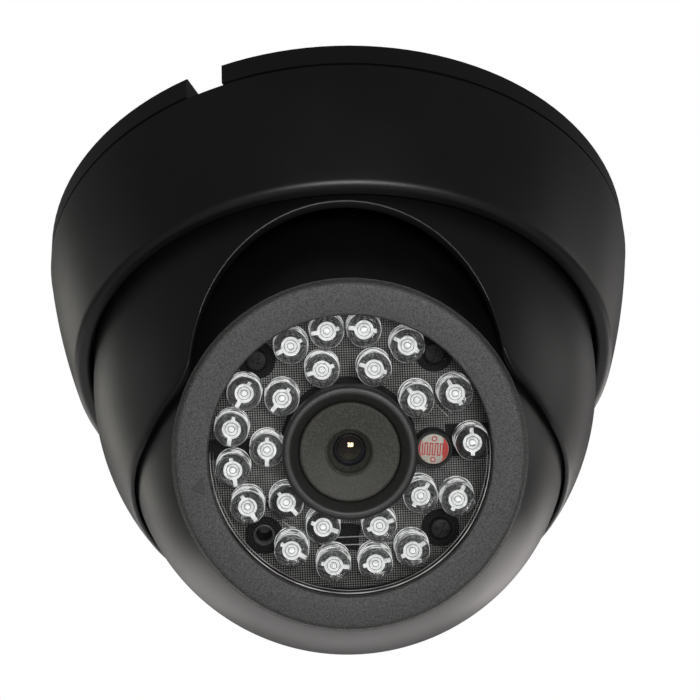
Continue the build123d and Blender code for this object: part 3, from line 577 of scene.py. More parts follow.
SATIN = satin_black_plastic()
SPARK = spark_black_plastic()
LENS_BLACK = lens_black()
RUBBER = soft_black("black_rubber", (0.008, 0.008, 0.008), 0.6, 0.8)
SHROUD = soft_black("shroud_black", (0.023, 0.023, 0.022), 0.38, 0.48, relief=0.000014, scale=4200)
PLAIN_MASK = soft_black("plain_mask", (0.003, 0.0032, 0.003), 0.5, 0.6, scale=1400, ior=1.22)
BLACK_STEEL = soft_black("black_steel", (0.004, 0.004, 0.004), 0.42, 0.52, scale=1800, ior=1.32)
MARK_SHADE_BLACK = soft_black("mark_shade_black", (0.026, 0.026, 0.026), 0.5, 0.6)
HOLE_RIM = soft_black("hole_rim", (0.05, 0.052, 0.05), 0.15, 0.25, scale=900)
ACETAL = soft_black("black_acetal", (0.02, 0.02, 0.02), 0.4, 0.5)
STEEL = metal("zinc_plated_steel", (0.62, 0.62, 0.6), 0.25, 0.4)
LAMP_SILVER = metal("lamp_silver", (0.97, 0.97, 0.96), 0.2, 0.34, scale=2600)
CAN = metal("aluminium_can", (0.7, 0.7, 0.72), 0.3, 0.4)
BRASS = metal("turned_brass", (0.78, 0.6, 0.3), 0.22, 0.35)
WINDOW = clear_window()
GLASS_EDGE_HIGHLIGHT = glass_edge_highlight()
EPOXY = lamp_epoxy()
LENS_GLASS = lens_glass()
MASK = board_mask()
GREEN_BOARD = circuit_board()
CELL = coloured("sensor_ceramic", (0.46, 0.42, 0.36), (0.64, 0.6, 0.53), 0.35, 0.5, scale=2600)
CELL_RED = coloured("sensor_red", (0.5, 0.02, 0.012), (0.66, 0.035, 0.02), 0.3, 0.42)
SOLDER = coloured("sensor_contact", (0.62, 0.6, 0.55), (0.8, 0.78, 0.72), 0.3, 0.4)
LAMP_WHITE = glowing_white()
LAMP_PAINTED_HIGHLIGHT_RIM = glowing_painted_highlight_rim()
# Grey lines in the disc grooves: painted shade for the dark rings the clear dome refracts onto the disc.
DISC_PAINTED_SHADE_RING = coloured("disc_painted_shade_ring", (0.32, 0.33, 0.33), (0.55, 0.56, 0.56), 0.35, 0.5)
CHIP = soft_black("chip_package", (0.02, 0.02, 0.021), 0.5, 0.62)
NYLON = coloured("natural_nylon", (0.72, 0.69, 0.6), (0.82, 0.79, 0.7), 0.4, 0.5)
LEAD_SHEATH = soft_black("lead_sheath", (0.02, 0.02, 0.02), 0.5, 0.62)
SILK = coloured("silk_line", (0.3, 0.3, 0.29), (0.5, 0.5, 0.48), 0.4, 0.5)


# ---- Housing ----


def arc_through(first, middle, last, steps):
    """Evenly spaced points on the circle through three points."""
    first, middle, last = Vector(first), Vector(middle), Vector(last)
    ab = middle - first
    ac = last - first
    denominator = 2 * (ab.x * ac.y - ab.y * ac.x)
    offset_x = (ac.y * ab.length_squared - ab.y * ac.length_squared) / denominator
    offset_y = (ab.x * ac.length_squared - ac.x * ab.length_squared) / denominator
    centre = first + Vector((offset_x, offset_y))
    start = atan2((first - centre).y, (first - centre).x)
    end = atan2((last - centre).y, (last - centre).x)
    radius = (first - centre).length
    angles = [start + (end - start) * step / steps for step in range(steps + 1)]
    return [tuple(centre + Vector((cos(angle), sin(angle))) * radius) for angle in angles]


def cover_ring():
    """The ring from the base's seam down to the rounded lip, with the ledge for the pan seat inside."""
    wall = arc_through((BASE_R, COVER_TOP_Z), COVER_WAIST, COVER_FOOT, 40)
    top_ease = 0.2
    foot = wall[-1]
    lip = rounded(
        [
            (*foot, 0),
            (foot[0] - 0.62, LIP_Z, 1.9),
            (OPENING_R, LIP_Z, 0.7),
            (OPENING_R, COVER_LEDGE_Z, 0.2),
            (COVER_BORE_R, COVER_LEDGE_Z, 0.1),
            (COVER_BORE_R, COVER_TOP_Z, 0.1),
        ],
        steps=9,
    )
    outline = [(BASE_R - top_ease, COVER_TOP_Z), (BASE_R, COVER_TOP_Z - top_ease)]
    outline += wall[1:] + lip[1:]
    ring = lathe(outline, 256)
    piece("cover_ring_moulding", ring, ROW, "ceiling_base", SATIN, ["cover_ring"])


def hood_radius(z, inside):
    """The hood's radius at a height: a straight neck over its own sphere, and the ball's socket below."""
    own = HOOD_INNER_R if inside else HOOD_OUTER_R
    if z > HOOD_CENTRE_Z:
        return own
    radius = chord(own, z - HOOD_CENTRE_Z)
    if inside:
        radius = max(radius, chord(SOCKET_R, z - BALL_Z))
    return radius


def arch_outline():
    """Half of the arch's edge seen from the front, from its top to where it meets the rim, as (x, z)."""
    near, far = Vector(ARCH_SKIRT[0]), Vector(ARCH_SKIRT[1])
    along = (far - near).normalized()
    normal = Vector((-along.y, along.x))
    # The centre of the rounding lies a radius above the skirt line and a radius outside the arch.
    level = near + normal * ARCH_FILLET
    hub = Vector((0.0, ARCH_CENTRE_Z))
    toward = (level - hub).dot(along)
    reach = (ARCH_R + ARCH_FILLET) ** 2 - (level - hub).length_squared
    centre = level + along * (-toward + sqrt(toward**2 + reach))
    touch = (centre - hub).normalized()
    last = atan2(touch.y, touch.x)
    points = []
    arch_steps = 56
    for step in range(arch_steps):
        angle = pi / 2 + (last - pi / 2) * step / arch_steps
        points.append((ARCH_R * cos(angle), ARCH_CENTRE_Z + ARCH_R * sin(angle)))
    start = atan2(-touch.y, -touch.x)
    end = atan2(-normal.y, -normal.x)
    if end < start:
        end += 2 * pi
    rounding_steps = 14
    for step in range(rounding_steps + 1):
        angle = start + (end - start) * step / rounding_steps
        points.append((centre.x + ARCH_FILLET * cos(angle), centre.y + ARCH_FILLET * sin(angle)))
    foot_x = near.x + (HOOD_RIM_Z - near.y) * along.x / along.y
    skirt_start = Vector(points[-1])
    skirt_end = Vector((foot_x, HOOD_RIM_Z))
    skirt_steps = 10
    for step in range(1, skirt_steps + 1):
        points.append(tuple(skirt_start.lerp(skirt_end, step / skirt_steps)))
    return points


def turret_hood():
    """The hood as a grid, with one column of points for each point of its lower edge."""
    half = arch_outline()
    edge = []
    for x, z in half:
        outside = hood_radius(z, False)
        inside = hood_radius(z, True)
        edge.append((asin(x / outside), asin(x / inside), z))
    last_outer, last_inner, _ = edge[-1]
    rim_steps = 70
    for step in range(1, rim_steps):
        part = step / rim_steps
        outer = last_outer + (pi - last_outer) * part
        inner = last_inner + (pi - last_inner) * part
        edge.append((outer, inner, HOOD_RIM_Z))
    edge.append((pi, pi, HOOD_RIM_Z))
    mirrored = [(-outer, -inner, z) for outer, inner, z in reversed(edge[1:-1])]
    columns = []
    wall_steps = 30
    flange = [
        (HOOD_OUTER_R, FLANGE_BOTTOM_Z),
        (FLANGE_R, FLANGE_BOTTOM_Z),
        (FLANGE_R, HOOD_TOP_Z),
        (HOOD_INNER_R, HOOD_TOP_Z),
    ]
    for outer, inner, z in edge + mirrored:
        column = []
        for step in range(wall_steps):
            height = z + (flange[0][1] - z) * step / wall_steps
            column.append((outer, hood_radius(height, False), height))
        column += [(outer, r, height) for r, height in flange[:3]]
        column.append((inner, *flange[3]))
        for step in range(1, wall_steps + 1):
            height = flange[3][1] + (z - flange[3][1]) * step / wall_steps
            column.append((inner, hood_radius(height, True), height))
        columns.append([(r * sin(angle), -r * cos(angle), height) for angle, r, height in column])
    rows = len(columns[0])
    vertices = [vertex for column in columns for vertex in column]
    faces = []
    for index in range(len(columns)):
        here = index * rows
        beside = (index + 1) % len(columns) * rows
        for row in range(rows):
            above = (row + 1) % rows
            faces.append((here + row, beside + row, beside + above, here + above))
    piece(
        "turret_hood_moulding", (vertices, faces), ROW, "turret", SATIN, ["turret_hood"],
        sharp=40, bevel=0.28,
    )


def ball_shells():
    """The ball's two halves: the front one with the well for the lamps, the rear one with its hub."""
    front = sphere_arc(BALL_R, 0, BALL_SPLIT_W, BEZEL_SEAM_W, 48)
    front += [(BEZEL_BACK_R, BEZEL_SEAM_W), (BEZEL_BACK_R, LEDGE_W), (WELL_R, LEDGE_W)]
    front += [(WELL_R, WELL_FLOOR_W), (WELL_INNER_R, WELL_FLOOR_W), (WELL_INNER_R, WELL_BACK_W)]
    front += [(WELL_OUTER_R, WELL_BACK_W), (WELL_OUTER_R, WELL_STEP_W)]
    front += sphere_arc(BALL_INNER_R, 0, WELL_STEP_W, BALL_SPLIT_W, 16)
    front_shell = lathe(front, 256)
    piece("ball_front_moulding", front_shell, EYE, "eyeball", SATIN, ["ball_front_shell"])

    groove_r, groove_low, groove_high = CLIP_GROOVE
    inner_back_w = BALL_BACK_W + 2
    rear = sphere_arc(BALL_R, 0, BALL_BACK_SPLIT_W, BALL_BACK_W, 32)
    rear += [(HUB_R, BALL_BACK_W), (HUB_R, groove_high), (groove_r, groove_high), (groove_r, groove_low)]
    rear += [(HUB_R, groove_low), (HUB_R, HUB_END_W), (HUB_BORE_R, HUB_END_W), (HUB_BORE_R, inner_back_w)]
    # A tongue inside the front shell closes the seam against the light.
    tongue_r = chord(BALL_INNER_R, BALL_BACK_SPLIT_W) - 0.15
    tongue_inner_r = tongue_r - 0.9
    tongue_w = BALL_BACK_SPLIT_W + 0.9
    rear += sphere_arc(BALL_INNER_R, 0, inner_back_w, BALL_BACK_SPLIT_W - 1.2, 16)
    rear += [(tongue_inner_r, BALL_BACK_SPLIT_W - 0.6), (tongue_inner_r, tongue_w)]
    rear += [(tongue_r, tongue_w), (tongue_r, BALL_BACK_SPLIT_W)]
    rear_shell = lathe(rear, 256)
    piece("ball_rear_moulding", rear_shell, EYE, "eyeball", SATIN, ["ball_rear_shell"])


def bezel():
    """The textured ring, with the small smooth triangle sunk into its face and a darker sheet on its floor
    as painted shade in the recess.
    """
    gap = 0.05
    edge_w = BEZEL_W - 0.42
    face_r = 24.88
    skirt_inner_r = 24.2
    skirt_outer_r = BEZEL_BACK_R - 0.08
    arc = sphere_arc(BALL_R, 0, BEZEL_SEAM_W + gap, edge_w, 6)
    corner = [(25.55, edge_w + 0.16), (25.38, edge_w + 0.29), (25.15, edge_w + 0.38)]
    inner = rounded(
        [
            (face_r, BEZEL_W, 0),
            (WINDOW_R, BEZEL_W, 0.32),
            (WINDOW_R, GLASS_W + gap, 0.1),
            (skirt_inner_r, GLASS_W + gap, 0),
            (skirt_inner_r, LEDGE_W + gap, 0),
            (skirt_outer_r, LEDGE_W + gap, 0),
            (skirt_outer_r, BEZEL_SEAM_W + gap, 0),
        ]
    )
    outline = arc + corner + inner
    ring = piece("bezel_ring", lathe(outline, 256), EYE, "eyeball", SPARK, ["front_bezel"])
    corners = [(-1.2, -1.5), (1.0, 0.0), (-1.05, 1.4)]
    floor_w = BEZEL_W - 0.26
    place = (TRIANGLE_ANGLE, polar(TRIANGLE_RADIUS, TRIANGLE_ANGLE))
    cut(ring, turned(prism(corners, floor_w, BEZEL_W + 0.3), *place), EYE)
    # The darker sheet on the triangle's floor is painted shade in the recess; its smooth finish is the
    # mark's own.
    shade_inlay = turned(prism([(x * 0.98, y * 0.98) for x, y in corners], floor_w, floor_w + 0.03), *place)
    piece("bezel_triangle_floor_painted_shade", shade_inlay, EYE, "eyeball", MARK_SHADE_BLACK)


def cut(target, shape, place):
    """Takes a shape out of a piece for good."""
    mesh = bpy.data.meshes.new("cutter")
    mesh.from_pydata([place @ (Vector(vertex) * MM) for vertex in shape[0]], [], shape[1])
    builder = bmesh.new()
    builder.from_mesh(mesh)
    bmesh.ops.recalc_face_normals(builder, faces=builder.faces)
    builder.to_mesh(mesh)
    builder.free()
    cutter = bpy.data.objects.new("cutter", mesh)
    bpy.context.scene.collection.objects.link(cutter)
    modifier = target.modifiers.new("cut", "BOOLEAN")
    modifier.operation = "DIFFERENCE"
    modifier.solver = "EXACT"
    modifier.object = cutter
    bpy.context.view_layer.update()
    evaluated = target.evaluated_get(bpy.context.evaluated_depsgraph_get())
    result = bpy.data.meshes.new_from_object(evaluated)
    target.modifiers.remove(modifier)
    target.data = result
    bpy.data.objects.remove(cutter)


# ---- Window, board and lamps ----


def window():
    """The flat pane that closes the well."""
    outline = [(0.0, GLASS_BACK_W)]
    outline += rounded_disc_edge(GLASS_R - 0.05, GLASS_BACK_W, GLASS_W, 0.12)
    outline += [(0.0, GLASS_W)]
    piece("window_pane", lathe(outline, closed=False), EYE, "eyeball", WINDOW, ["window_glass"])


def window_highlight_beads():
    """Two fine clear beads along the lower half of the window's edge, each tapered to nothing, painted
    pale as the highlight where light catches that edge.
    """
    shapes = []
    sides = 8
    steps = 96
    start_angle, sweep = 176, 188
    for middle_r, bead_r in ((20.4, 0.1), (19.95, 0.04)):
        vertices = []
        for step in range(steps + 1):
            along = start_angle + sweep * step / steps
            thin = bead_r * (0.15 + 0.85 * sin(pi * step / steps) ** 0.5)
            for side in range(sides):
                turn = 2 * pi * side / sides
                x, y = polar(middle_r + thin * cos(turn), along)
                vertices.append((x, y, GLASS_W + 0.05 + thin * sin(turn)))
        faces = [tuple(range(sides)), tuple(range(steps * sides + sides - 1, steps * sides - 1, -1))]
        for step in range(steps):
            for side in range(sides):
                after = (side + 1) % sides
                first, second = step * sides, (step + 1) * sides
                faces.append((first + side, second + side, second + after, first + after))
        shapes.append((vertices, faces))
    piece("window_glue_beads_painted_highlight", joined(shapes), EYE, "eyeball", GLASS_EDGE_HIGHLIGHT)


def rounded_disc_edge(radius, low, high, rounding):
    """The outside of a disc from its lower face to its upper one, with both edges rounded."""
    corners = [(0.0, low, 0), (radius, low, rounding), (radius, high, rounding), (0.0, high, 0)]
    return rounded(corners)[1:-1]


def lamp_board():
    """The black board, with its empty screw hole and the raised eyelet round that hole."""
    top = BOARD_W
    hole_r = 9.0
    drill_r = 1.3
    outline = rounded(
        [
            (hole_r, BOARD_BACK_W, 0.05),
            (BOARD_R, BOARD_BACK_W, 0.05),
            (BOARD_R, top, 0.08),
            (hole_r, top, 0.08),
        ],
        steps=2,
    )
    board = piece("lamp_board_plate", lathe(outline), EYE, "eyeball", MASK, ["lamp_board"])
    drill = [(0.0, BOARD_BACK_W - 1), (drill_r, BOARD_BACK_W - 1), (drill_r, top + 1), (0.0, top + 1)]
    cut(board, lathe(drill, 40, polar(BOARD_SCREWS_R, EMPTY_HOLE_ANGLE), closed=False), EYE)
    eyelet = rounded([(1.32, top, 0), (1.6, top, 0), (1.6, top + 0.16, 0.08), (1.32, top + 0.16, 0.08)], 3)
    ring = lathe(eyelet, 48, polar(BOARD_SCREWS_R, EMPTY_HOLE_ANGLE))
    piece("empty_hole_rim", ring, EYE, "eyeball", HOLE_RIM)


def empty_post():
    """The post under the empty screw hole, whose blind bore shows through the board."""
    top = BOARD_BACK_W - 0.1
    post_r, bore_r, mouth_r = 2.4, 1.0, 1.15
    bore_end_w = top - 4.5
    outline = [
        (0.0, POST_FOOT_W),
        (post_r, POST_FOOT_W),
        (post_r, top),
        (mouth_r, top),
        (bore_r, top - 0.15),
        (bore_r, bore_end_w),
        (0.0, bore_end_w - 0.8),
    ]
    post = lathe(outline, 40, polar(BOARD_SCREWS_R, EMPTY_HOLE_ANGLE), closed=False)
    piece("empty_screw_post", post, EYE, "eyeball", PLAIN_MASK)


def board_screws():
    """Pan-headed screws with deep cross recesses."""
    shapes = []
    slots = []
    arm, arm_width, recess = 1.12, 0.5, 0.75
    for angle in BOARD_SCREW_ANGLES:
        centre = polar(BOARD_SCREWS_R, angle)
        outline = rounded(
            [
                (0.0, SCREW_FOOT_W, 0),
                (SCREW_SHAFT_R, SCREW_FOOT_W, 0.2),
                (SCREW_SHAFT_R, BOARD_W + 0.03, 0),
                (SCREW_HEAD_R, BOARD_W + 0.03, 0),
                (SCREW_HEAD_R, SCREW_W, 0.45),
                (0.0, SCREW_W, 0),
            ]
        )
        shapes.append(lathe(outline, 40, centre, closed=False))
        for way in (20, 110):
            slot_bar = bar((-arm, 0.0), (arm, 0.0), arm_width, SCREW_W - recess, SCREW_W + 0.3)
            slots.append(turned(slot_bar, angle + way, centre))
    heads = joined(shapes)
    replaced = ["lamp_board_screws"]
    screws = piece("board_cross_screws", heads, EYE, "eyeball", BLACK_STEEL, replaced)
    for slot_shape in slots:
        cut(screws, slot_shape, EYE)


def plain_patches():
    """Bare patches of solder mask, round the screws, the lens and the sensor, and the fine lines."""
    low = BOARD_W + 0.005
    high = BOARD_W + 0.035
    shapes = []
    for angle in BOARD_SCREW_ANGLES + (EMPTY_HOLE_ANGLE,):
        patch = [(1.4, low), (2.9, low), (2.9, high), (1.4, high)]
        shapes.append(lathe(patch, 48, polar(BOARD_SCREWS_R, angle)))
    shapes.append(lathe([(9.05, low), (10.2, low), (10.2, high), (9.05, high)], 96))
    for angle, inner_r, outer_r, width in BARE_STRIPS:
        shapes.append(bar(polar(inner_r, angle), polar(outer_r, angle), width, low, high))
    piece("board_bare_patches", joined(shapes), EYE, "eyeball", PLAIN_MASK)
    lines = []
    for start, end in BOARD_LINES:
        lines.append(bar(start, end, 0.14, high, high + 0.02))
    piece("board_fine_lines", joined(lines), EYE, "eyeball", SILK)


def lamp_body(centre):
    """The clear body: a flange at the foot, three faint ridges and a domed tip."""
    foot = BOARD_W + 0.03
    dome = LAMP_TIP_W - LAMP_R
    flange_ease_r = LAMP_FLANGE_R - 0.1
    outline = [(0.0, foot), (flange_ease_r, foot), (LAMP_FLANGE_R, foot + 0.1)]
    outline += [(LAMP_FLANGE_R, foot + 0.9), (flange_ease_r, foot + 1.0), (LAMP_R, foot + 1.02)]
    for ridge_w in (foot + 2.2, foot + 3.6, foot + 5.0):
        outline += [(LAMP_R - 0.05, ridge_w - 0.25), (LAMP_R, ridge_w), (LAMP_R - 0.05, ridge_w + 0.25)]
    outline += sphere_arc(LAMP_R, dome, dome, LAMP_TIP_W, 14)[:-1] + [(0.0, LAMP_TIP_W)]
    return lathe(outline, 40, centre, closed=False)


def lamp_reflector(angle, centre):
    """The white disc round the chip, with two grooves, its long tail and the short tab across from it."""
    top = LAMP_DISC_W
    outline = [(0.0, top - 0.5), (0.7, top - 0.5), (0.88, top - 0.1), (0.87, top)]
    for ring_r in (0.6, 0.3):
        outline += [(ring_r + 0.05, top), (ring_r + 0.03, top - 0.08), (ring_r - 0.03, top - 0.08)]
        outline += [(ring_r - 0.05, top)]
    outline += [(0.0, top)]
    disc = lathe(outline, 32, closed=False)
    tail = bar((0.0, 0.7), (0.0, 1.5), 0.36, top - 0.25, top - 0.01)
    tab = bar((0.0, -1.15), (0.0, -0.7), 0.34, top - 0.25, top - 0.01)
    return turned(joined([disc, tail, tab]), angle, centre)


def lamp_disc_painted_shade_rings(centre):
    """The two grey rings that lie in the disc's grooves; their grey is painted shade for the dark rings
    that the clear dome refracts onto the disc.
    """
    low, high = LAMP_DISC_W - 0.1, LAMP_DISC_W + 0.01
    half_width = 0.035
    shapes = []
    for ring_r in (0.6, 0.3):
        inner_r, outer_r = ring_r - half_width, ring_r + half_width
        section = [(inner_r, low), (outer_r, low), (outer_r, high), (inner_r, high)]
        shapes.append(lathe(section, 32, centre))
    return joined(shapes)


def lamp_leads(angle, centre):
    """The two square posts that the disc stands on."""
    top = LAMP_DISC_W
    anvil = bar((0.0, 0.3), (0.0, 0.75), 0.4, BOARD_W + 0.1, top - 0.45)
    post = bar((0.0, -1.45), (0.0, -1.05), 0.4, BOARD_W + 0.1, top - 1.6)
    return turned(joined([anvil, post]), angle, centre)


def lamp_painted_highlight_rims(centre):
    """Fine pale rings round the lamp's body, whose pale colour paints the clear body's highlights as
    nested arcs.
    """
    shapes = []
    wire_r = 0.07
    places = [(LAMP_R, ring_w) for ring_w in (LAMP_TIP_W - 2.7, 14.6, 13.4, 12.4)]
    places.append((LAMP_FLANGE_R, 11.2))
    for ring_r, ring_w in places:
        circle = []
        for step in range(8):
            turn = step * pi / 4
            circle.append((ring_r + wire_r * cos(turn), ring_w + wire_r * sin(turn)))
        shapes.append(lathe(circle, 40, centre))
    return joined(shapes)


def lamps():
    groups = {"outer": (OUTER_LAMPS, "outer_lamps"), "inner": (INNER_LAMPS, "inner_lamps")}
    for name, (places, node) in groups.items():
        bodies = joined([lamp_body(polar(radius, angle)) for angle, radius in places])
        rims = joined([lamp_painted_highlight_rims(polar(radius, angle)) for angle, radius in places])
        discs = joined([lamp_reflector(angle, polar(radius, angle)) for angle, radius in places])
        rings = joined([lamp_disc_painted_shade_rings(polar(radius, angle)) for angle, radius in places])
        leads = joined([lamp_leads(angle, polar(radius, angle)) for angle, radius in places])
        piece(f"{name}_lamp_bodies", bodies, EYE, "eyeball", EPOXY, [node])
        # The pale rings are painted highlights on the clear lamp bodies.
        piece(f"{name}_lamp_painted_highlight_rims", rims, EYE, "eyeball", LAMP_PAINTED_HIGHLIGHT_RIM)
        piece(f"{name}_lamp_discs", discs, EYE, "eyeball", LAMP_WHITE)
        piece(f"{name}_lamp_disc_painted_shade_rings", rings, EYE, "eyeball", DISC_PAINTED_SHADE_RING)
        piece(f"{name}_lamp_leads", leads, EYE, "eyeball", LAMP_SILVER)


def light_sensor():
    """The round light sensor in its dark sleeve: a cream disc with a red zigzag track and red edges."""
    low = BOARD_W
    face = low + SENSOR_HEIGHT
    rim = face + 0.35
    sleeve = rounded(
        [
            (SENSOR_R + 0.08, low + 2.0, 0),
            (2.5, low + 0.03, 0),
            (SENSOR_SLEEVE_R, low + 1.15, 0),
            (SENSOR_SLEEVE_R, rim, 0.15),
            (SENSOR_R + 0.08, rim, 0.15),
        ]
    )
    sleeve_mesh = lathe(sleeve, 64, SENSOR_CENTRE)
    replaced = ["light_sensor_sleeve"]
    piece("light_sensor_boot", sleeve_mesh, EYE, "eyeball", RUBBER, replaced)
    disc = [(0.0, low + 2.05)] + rounded_disc_edge(SENSOR_R, low + 2.05, face, 0.25) + [(0.0, face)]
    disc_mesh = lathe(disc, 64, SENSOR_CENTRE, closed=False)
    piece("light_sensor_disc", disc_mesh, EYE, "eyeball", CELL, ["light_sensor_cell"])
    top = face + 0.03
    lines = 9
    pitch = 0.38
    reach = 0.86
    line_width = 0.17
    track = []
    for index in range(lines):
        x = (index - (lines - 1) / 2) * pitch - 0.15
        track.append(bar((x, -reach), (x, reach), line_width, face, top))
        if index < lines - 1:
            y = reach if index % 2 else -reach
            start = (x - line_width / 2, y)
            end = (x + pitch + line_width / 2, y)
            track.append(bar(start, end, line_width, face, top))
    edge_r = SENSOR_R - 0.1
    for side, span, thickness in ((1, 56, 0.75), (-1, 40, 0.22)):
        outer = [polar(edge_r, angle) for angle in range(-span, span + 1, 4)]
        half_height = outer[-1][1]
        inner = []
        for step in range(10, -11, -1):
            y = half_height * step / 10
            inner.append((chord(edge_r, y) - thickness * (1 - (step / 10) ** 2) - 0.01, y))
        crescent = [(side * x, side * y) for x, y in outer + inner]
        track.append(prism(crescent, face, top))
    for y in (-1.55, 1.55):
        track.append(lathe([(0.24, face), (0.4, face), (0.4, top), (0.24, top)], 24, (0.0, y)))
    turned_track = turned(joined(track), SENSOR_TURN, SENSOR_CENTRE)
    piece("light_sensor_track", turned_track, EYE, "eyeball", CELL_RED)
    contact = [(0.0, face), (0.22, face), (0.2, face + 0.05), (0.0, face + 0.07)]
    contacts = [lathe(contact, 20, (0.0, y), closed=False) for y in (-1.55, 1.55)]
    turned_contacts = turned(joined(contacts), SENSOR_TURN, SENSOR_CENTRE)
    piece("light_sensor_contacts", turned_contacts, EYE, "eyeball", SOLDER)


# ---- Lens ----


def lens():
    """The shroud's ring, the barrel with its stepped mouth, and the front element's dome."""
    top = SHROUD_W
    shroud = rounded(
        [
            (8.65, BOARD_W + 0.03, 0),
            (9.3, BOARD_W + 0.03, 0),
            (9.55, 11.6, 0.2),
            (9.55, 17.3, 0.2),
            (10.0, 17.9, 0.2),
            (10.0, top, 0.62),
            (8.75, top, 0.62),
            (7.6, 17.6, 0.2),
            (7.6, 16.6, 0),
            (8.65, 15.8, 0),
        ],
        steps=8,
    )
    piece("lens_shroud_ring", lathe(shroud), EYE, "eyeball", SHROUD, ["lens_shroud"])
    barrel = rounded(
        [
            (6.0, 0.3, 0),
            (6.0, 10.2, 0),
            (7.4, 10.2, 0.1),
            (7.4, BARREL_W - 0.15, 0.25),
            (7.05, BARREL_W, 0.2),
            (3.7, 17.5, 0.12),
            (3.45, 17.65, 0.1),
            (3.2, 17.3, 0.1),
            (3.05, 16.4, 0.1),
            (2.5, 15.6, 0.1),
            (2.45, 14.6, 0.05),
            (2.3, 14.6, 0),
            (2.3, 12.0, 0),
            (4.3, 12.0, 0),
            (4.3, 0.3, 0),
        ]
    )
    piece("lens_barrel_body", lathe(barrel), EYE, "eyeball", LENS_BLACK, ["lens_barrel"])
    glass_back_w, glass_edge_w, glass_tip_w = 14.65, 15.22, 15.9
    curve_r = 4.6
    dome = [(0.0, glass_back_w), (2.4, glass_back_w)]
    dome += sphere_arc(curve_r, glass_tip_w - curve_r, glass_edge_w, glass_tip_w, 12)[:-1]
    dome += [(0.0, glass_tip_w)]
    dome_mesh = lathe(dome, 64, closed=False)
    piece("front_lens_dome", dome_mesh, EYE, "eyeball", LENS_GLASS, ["front_lens_element"])


# ---- Hidden CAD pieces ----

CAD_MATERIALS = {
    SATIN: ["base_plate"],
    RUBBER: ["cable_grommet", "window_gasket", "pan_friction_ring", "spin_friction_washer"],
    ACETAL: ["pan_seat_ring"],
    STEEL: [
        "cover_screws",
        "ball_shell_screws",
        "board_stack_screws",
        "tilt_pivot_pins",
        "spin_retaining_clip",
        "tilt_yoke",
    ],
    GREEN_BOARD: ["sensor_board", "power_board"],
    LENS_BLACK: ["lens_holder", "lens_lock_ring"],
    LENS_GLASS: ["rear_lens_element", "infrared_filter"],
    CHIP: ["image_sensor", "sensor_board_chips", "power_board_coil"],
    CAN: ["power_board_capacitors"],
    BRASS: ["board_spacers"],
    NYLON: ["camera_cable_socket", "lamp_lead_plugs"],
    LEAD_SHEATH: ["lamp_lead"],
}


def dress_cad_nodes():
    """Gives each carried-over CAD node its material."""
    for material, nodes in CAD_MATERIALS.items():
        for node in nodes:
            mesh = frame["nodes"][node].data
            mesh.materials.clear()
            mesh.materials.append(material)


# ---- Studio ----


def area_light(name, place, target, width, height, power, colour):
    light = bpy.data.lights.new(name, "AREA")
    light.shape = "RECTANGLE"
    light.size = width
    light.size_y = height
    light.energy = power
    light.color = colour
    made = bpy.data.objects.new(name, light)
    made.location = place
    made.rotation_euler = (Vector(target) - Vector(place)).to_track_quat("-Z", "Y").to_euler()
    bpy.context.scene.collection.objects.link(made)


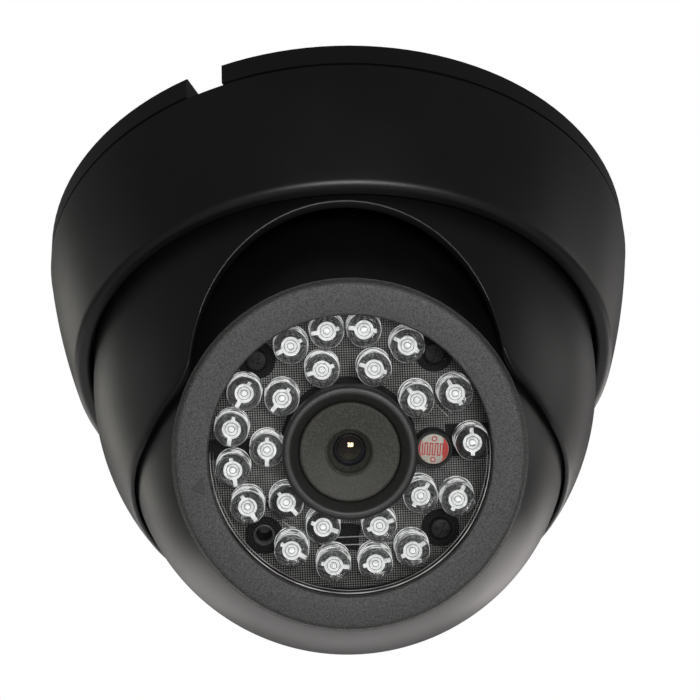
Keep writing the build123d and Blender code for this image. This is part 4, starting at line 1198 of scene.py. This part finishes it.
def studio():
    """A pale floor, a white sweep, a key light in front and rim lights behind and beside the camera."""
    half_side = 60
    floor_z = -1.3
    corners = [(-1, -1), (1, -1), (1, 1), (-1, 1)]
    floor = bpy.data.meshes.new("floor")
    floor.from_pydata([(x * half_side, y * half_side, floor_z) for x, y in corners], [], [(0, 1, 2, 3)])
    floor_surface = Surface("pale_floor", Roughness=0.8)
    tone = floor_surface.noise(3)
    pale = floor_surface.blend(tone, (0.78, 0.78, 0.77), (0.84, 0.84, 0.83))
    floor_surface.feed(pale, "Base Color")
    floor_surface.feed(pale, "Emission Color")
    # The floor looks pale in the picture without lighting the camera from below.
    seen = floor_surface.tree.nodes.new("ShaderNodeLightPath").outputs["Is Camera Ray"]
    floor_surface.feed(floor_surface.maths("MULTIPLY", seen, 0.75), "Emission Strength")
    floor.materials.append(floor_surface.material)
    floor_object = bpy.data.objects.new("floor", floor)
    bpy.context.scene.collection.objects.link(floor_object)

    middle = (0, 0, -0.04)
    area_light("key_softbox", (0.1, -0.9, -0.7), middle, 0.4, 0.3, 7.8, (1.0, 1.0, 1.0))
    area_light("low_softbox", (0.05, 0.85, -0.25), middle, 2.0, 0.35, 4.9, (1.0, 0.96, 0.95))
    area_light("left_softbox", (-0.75, 0.65, 0.35), middle, 0.3, 0.5, 0.7, (1.0, 0.98, 0.9))
    area_light("right_softbox", (0.75, 0.65, 0.35), middle, 0.3, 0.5, 0.35, (1.0, 0.95, 0.93))
    area_light("left_side_softbox", (-0.95, 0.13, 0.1), middle, 0.5, 0.5, 0.28, (1.0, 1.0, 0.98))
    area_light("right_side_softbox", (0.95, 0.13, 0.1), middle, 0.5, 0.5, 0.7, (1.0, 0.99, 0.97))
    area_light("left_corner_softbox", (-0.5, 0.85, 0.1), middle, 0.4, 0.4, 0.8, (1.0, 0.97, 0.95))
    area_light("right_corner_softbox", (0.5, 0.85, 0.1), middle, 0.4, 0.4, 1.2, (1.0, 0.95, 0.93))

    world = bpy.data.worlds.new("white_sweep")
    bpy.context.scene.world = world
    world.use_nodes = True
    tree = world.node_tree
    backdrop = tree.nodes["Background"]
    backdrop.inputs["Color"].default_value = (1, 1, 1, 1)
    backdrop.inputs["Strength"].default_value = 1.0
    ambient = tree.nodes.new("ShaderNodeBackground")
    ambient.inputs["Color"].default_value = (0.96, 0.98, 1.0, 1)
    ambient.inputs["Strength"].default_value = 0.1
    path = tree.nodes.new("ShaderNodeLightPath")
    mix = tree.nodes.new("ShaderNodeMixShader")
    tree.links.new(path.outputs["Is Camera Ray"], mix.inputs["Fac"])
    tree.links.new(ambient.outputs["Background"], mix.inputs[1])
    tree.links.new(backdrop.outputs["Background"], mix.inputs[2])
    tree.links.new(mix.outputs["Shader"], tree.nodes["World Output"].inputs["Surface"])
    bpy.context.scene.view_settings.view_transform = "Standard"


def camera():
    """The viewing angle: from below and in front, looking up at the face, rolled a little."""
    place = Vector((-0.00495, -0.29150, -0.26844))
    azimuth, elevation, roll = radians(1.19), radians(40.38), radians(-3.16)
    look = Vector((sin(azimuth) * cos(elevation), cos(azimuth) * cos(elevation), sin(elevation)))
    level_right = look.cross(Vector((0, 0, 1))).normalized()
    right = Matrix.Rotation(-roll, 3, look) @ level_right
    up = right.cross(look)
    lens = bpy.data.cameras.new("camera")
    lens.lens = 123.9
    lens.sensor_width = 36
    lens.clip_start = 0.01
    made = bpy.data.objects.new("camera", lens)
    made.matrix_world = Matrix((right, up, -look)).transposed().to_4x4()
    made.location = place
    bpy.context.scene.collection.objects.link(made)
    bpy.context.scene.camera = made


camera()
studio()
dress_cad_nodes()
cover_ring()
turret_hood()
ball_shells()
bezel()
window()
window_highlight_beads()
lamp_board()
empty_post()
board_screws()
plain_patches()
lamps()
light_sensor()
lens()
